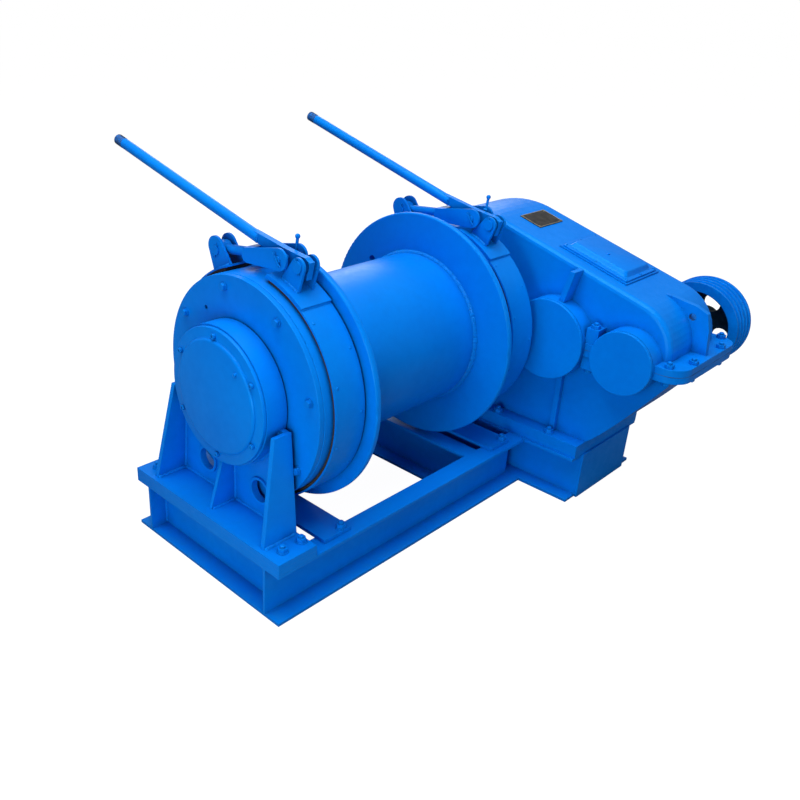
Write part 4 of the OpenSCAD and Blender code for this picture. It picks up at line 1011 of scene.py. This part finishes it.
def cotter(x, spot, turn):
    turn = math.radians(turn)
    downward = np.array([0, -math.sin(turn), -math.cos(turn)])
    across = np.array([0, math.cos(turn), -math.sin(turn)])
    centre = np.array([x, *spot])
    eye = []
    for angle in np.radians(np.linspace(60, 300, 16)):
        up = 16 + splitPin["eye"] * 1.6 + math.cos(angle) * splitPin["eye"] * 1.4
        eye.append(centre - downward * up + across * math.sin(angle) * splitPin["eye"])
    legs = []
    for way, length in ((-1, 22 + splitPin["leg"]), (1, 20 + splitPin["leg"])):
        legs.append([])
        for down in np.linspace(0, length, 14):
            bent = max(0, (down - splitPin["bend"]) / splitPin["leg"]) ** 1.5
            out = splitPin["apart"] + splitPin["spread"] * bent
            legs[-1].append(centre + downward * (down - splitPin["above"]) + across * way * out)
    path = legs[0][::-1] + eye[::-1] + legs[1]
    return wireShell(np.array(path) * mm, splitPin["wire"] * mm)


baseCotters = []
linkCotters = {}
for side, brake in brakes.items():
    for key, spot in (("fulcrum", brake["fulcrum"]), ("ear", earPin)):
        out, turn = splitPin[key]
        baseCotters.append(cotter(brake["middle"] + out, spot, turn))
    out, turn = splitPin["link"]
    linkCotters[side] = cotter(brake["middle"] + out, onLever(brake, *splitPin["linkPin"], 0.0)[1:], turn)
piece("baseSplitPins", baseCotters, paintSmall, "base")
for side, shell in linkCotters.items():
    piece("linkSplitPin" + side.capitalize(), [shell], paintSmall, "link_" + side)

# knobbed pins that stand on the far link plates
knob = {"stem": 4.2, "ball": 7.6, "height": 46.0, "foot": 9.0, "axis": (0, -0.12, 1), "segments": 24,
    "left": (266.0, -88.0, 1004.0), "right": (1105.5, -128.0, 1006.0)}
foot, stem = knob["foot"], knob["stem"]
profile = [(0, foot), (4, foot), (5, foot - 1), (6, stem + 1.5), (8, stem)]
for degrees in range(38, 176, 12):
    angle = math.radians(degrees)
    profile.append((knob["height"] - knob["ball"] * math.cos(angle), knob["ball"] * math.sin(angle)))
for side in brakes:
    shell = turned(np.array(knob[side]) * mm, knob["axis"], scaled(profile), knob["segments"])
    piece("knobbedPin" + side.capitalize(), [shell], paintSmall, "link_" + side)
print("pins ready")

# a floor and a sky that are white to the camera, and weaker in what they light
studio = {"floor": (0.16, 0.16, 0.16, 1), "glow": 0.97, "world": 0.17, "gloss": 0.19, "half": 30.0,
    "target": (0.8, -0.1, 0.5)}
lamps = {
    "topLight": (226.0, (0.0, -0.2, 4.9), 4.4),
    "sideLight": (66.0, (-4.8, -1.4, 1.5), 2.4),
    "frontLight": (32.0, (1.0, -4.9, 2.2), 2.8),
    "cornerLight": (17.0, (-1.7, -1.5, 0.4), 0.9),
    "backLight": (45.0, (4.2, 3.4, 2.6), 3.0),
}
floorMaterial, board, place = startMaterial("floorPale")
seen = board.add("ShaderNodeLightPath").at("Is Camera Ray")
shader = board.add("ShaderNodeBsdfPrincipled", {}, {
    "Base Color": studio["floor"],
    "Roughness": 0.95,
    "Specular IOR Level": 0.05,
    "Emission Color": board.mixColour(seen, (0, 0, 0, 1), (1, 1, 1, 1)),
    "Emission Strength": studio["glow"],
})
board.put(shader, board.add("ShaderNodeOutputMaterial").inputs["Surface"])
half = studio["half"]
mesh = bpy.data.meshes.new("studioFloor")
mesh.from_pydata([(-half, -half, 0), (half, -half, 0), (half, half, 0), (-half, half, 0)], [], [(0, 1, 2, 3)])
mesh.materials.append(floorMaterial)
shown("studioFloor", mesh)
world = bpy.data.worlds.new("studioWorld")
scene.world = world
world.use_nodes = True
world.node_tree.nodes.clear()
board = Board(world.node_tree)
path = board.add("ShaderNodeLightPath")
inputs = {0: path.at("Is Glossy Ray"), 2: studio["world"], 3: studio["gloss"]}
hidden = board.add("ShaderNodeMix", {"data_type": "FLOAT"}, inputs)
inputs = {0: path.at("Is Camera Ray"), 2: hidden, 3: 1.0}
strength = board.add("ShaderNodeMix", {"data_type": "FLOAT"}, inputs)
sky = board.add("ShaderNodeBackground", {}, {"Color": (1, 1, 1, 1), "Strength": strength})
board.put(sky, board.add("ShaderNodeOutputWorld").inputs["Surface"])
for name, (power, spot, size) in lamps.items():
    data = bpy.data.lights.new(name, "AREA")
    data.shape = "DISK"
    data.energy = power
    data.size = size
    lamp = bpy.data.objects.new(name, data)
    scene.collection.objects.link(lamp)
    lamp.location = spot
    lamp.rotation_euler = (Vector(studio["target"]) - Vector(spot)).to_track_quat("-Z", "Y").to_euler()
print("studio ready")
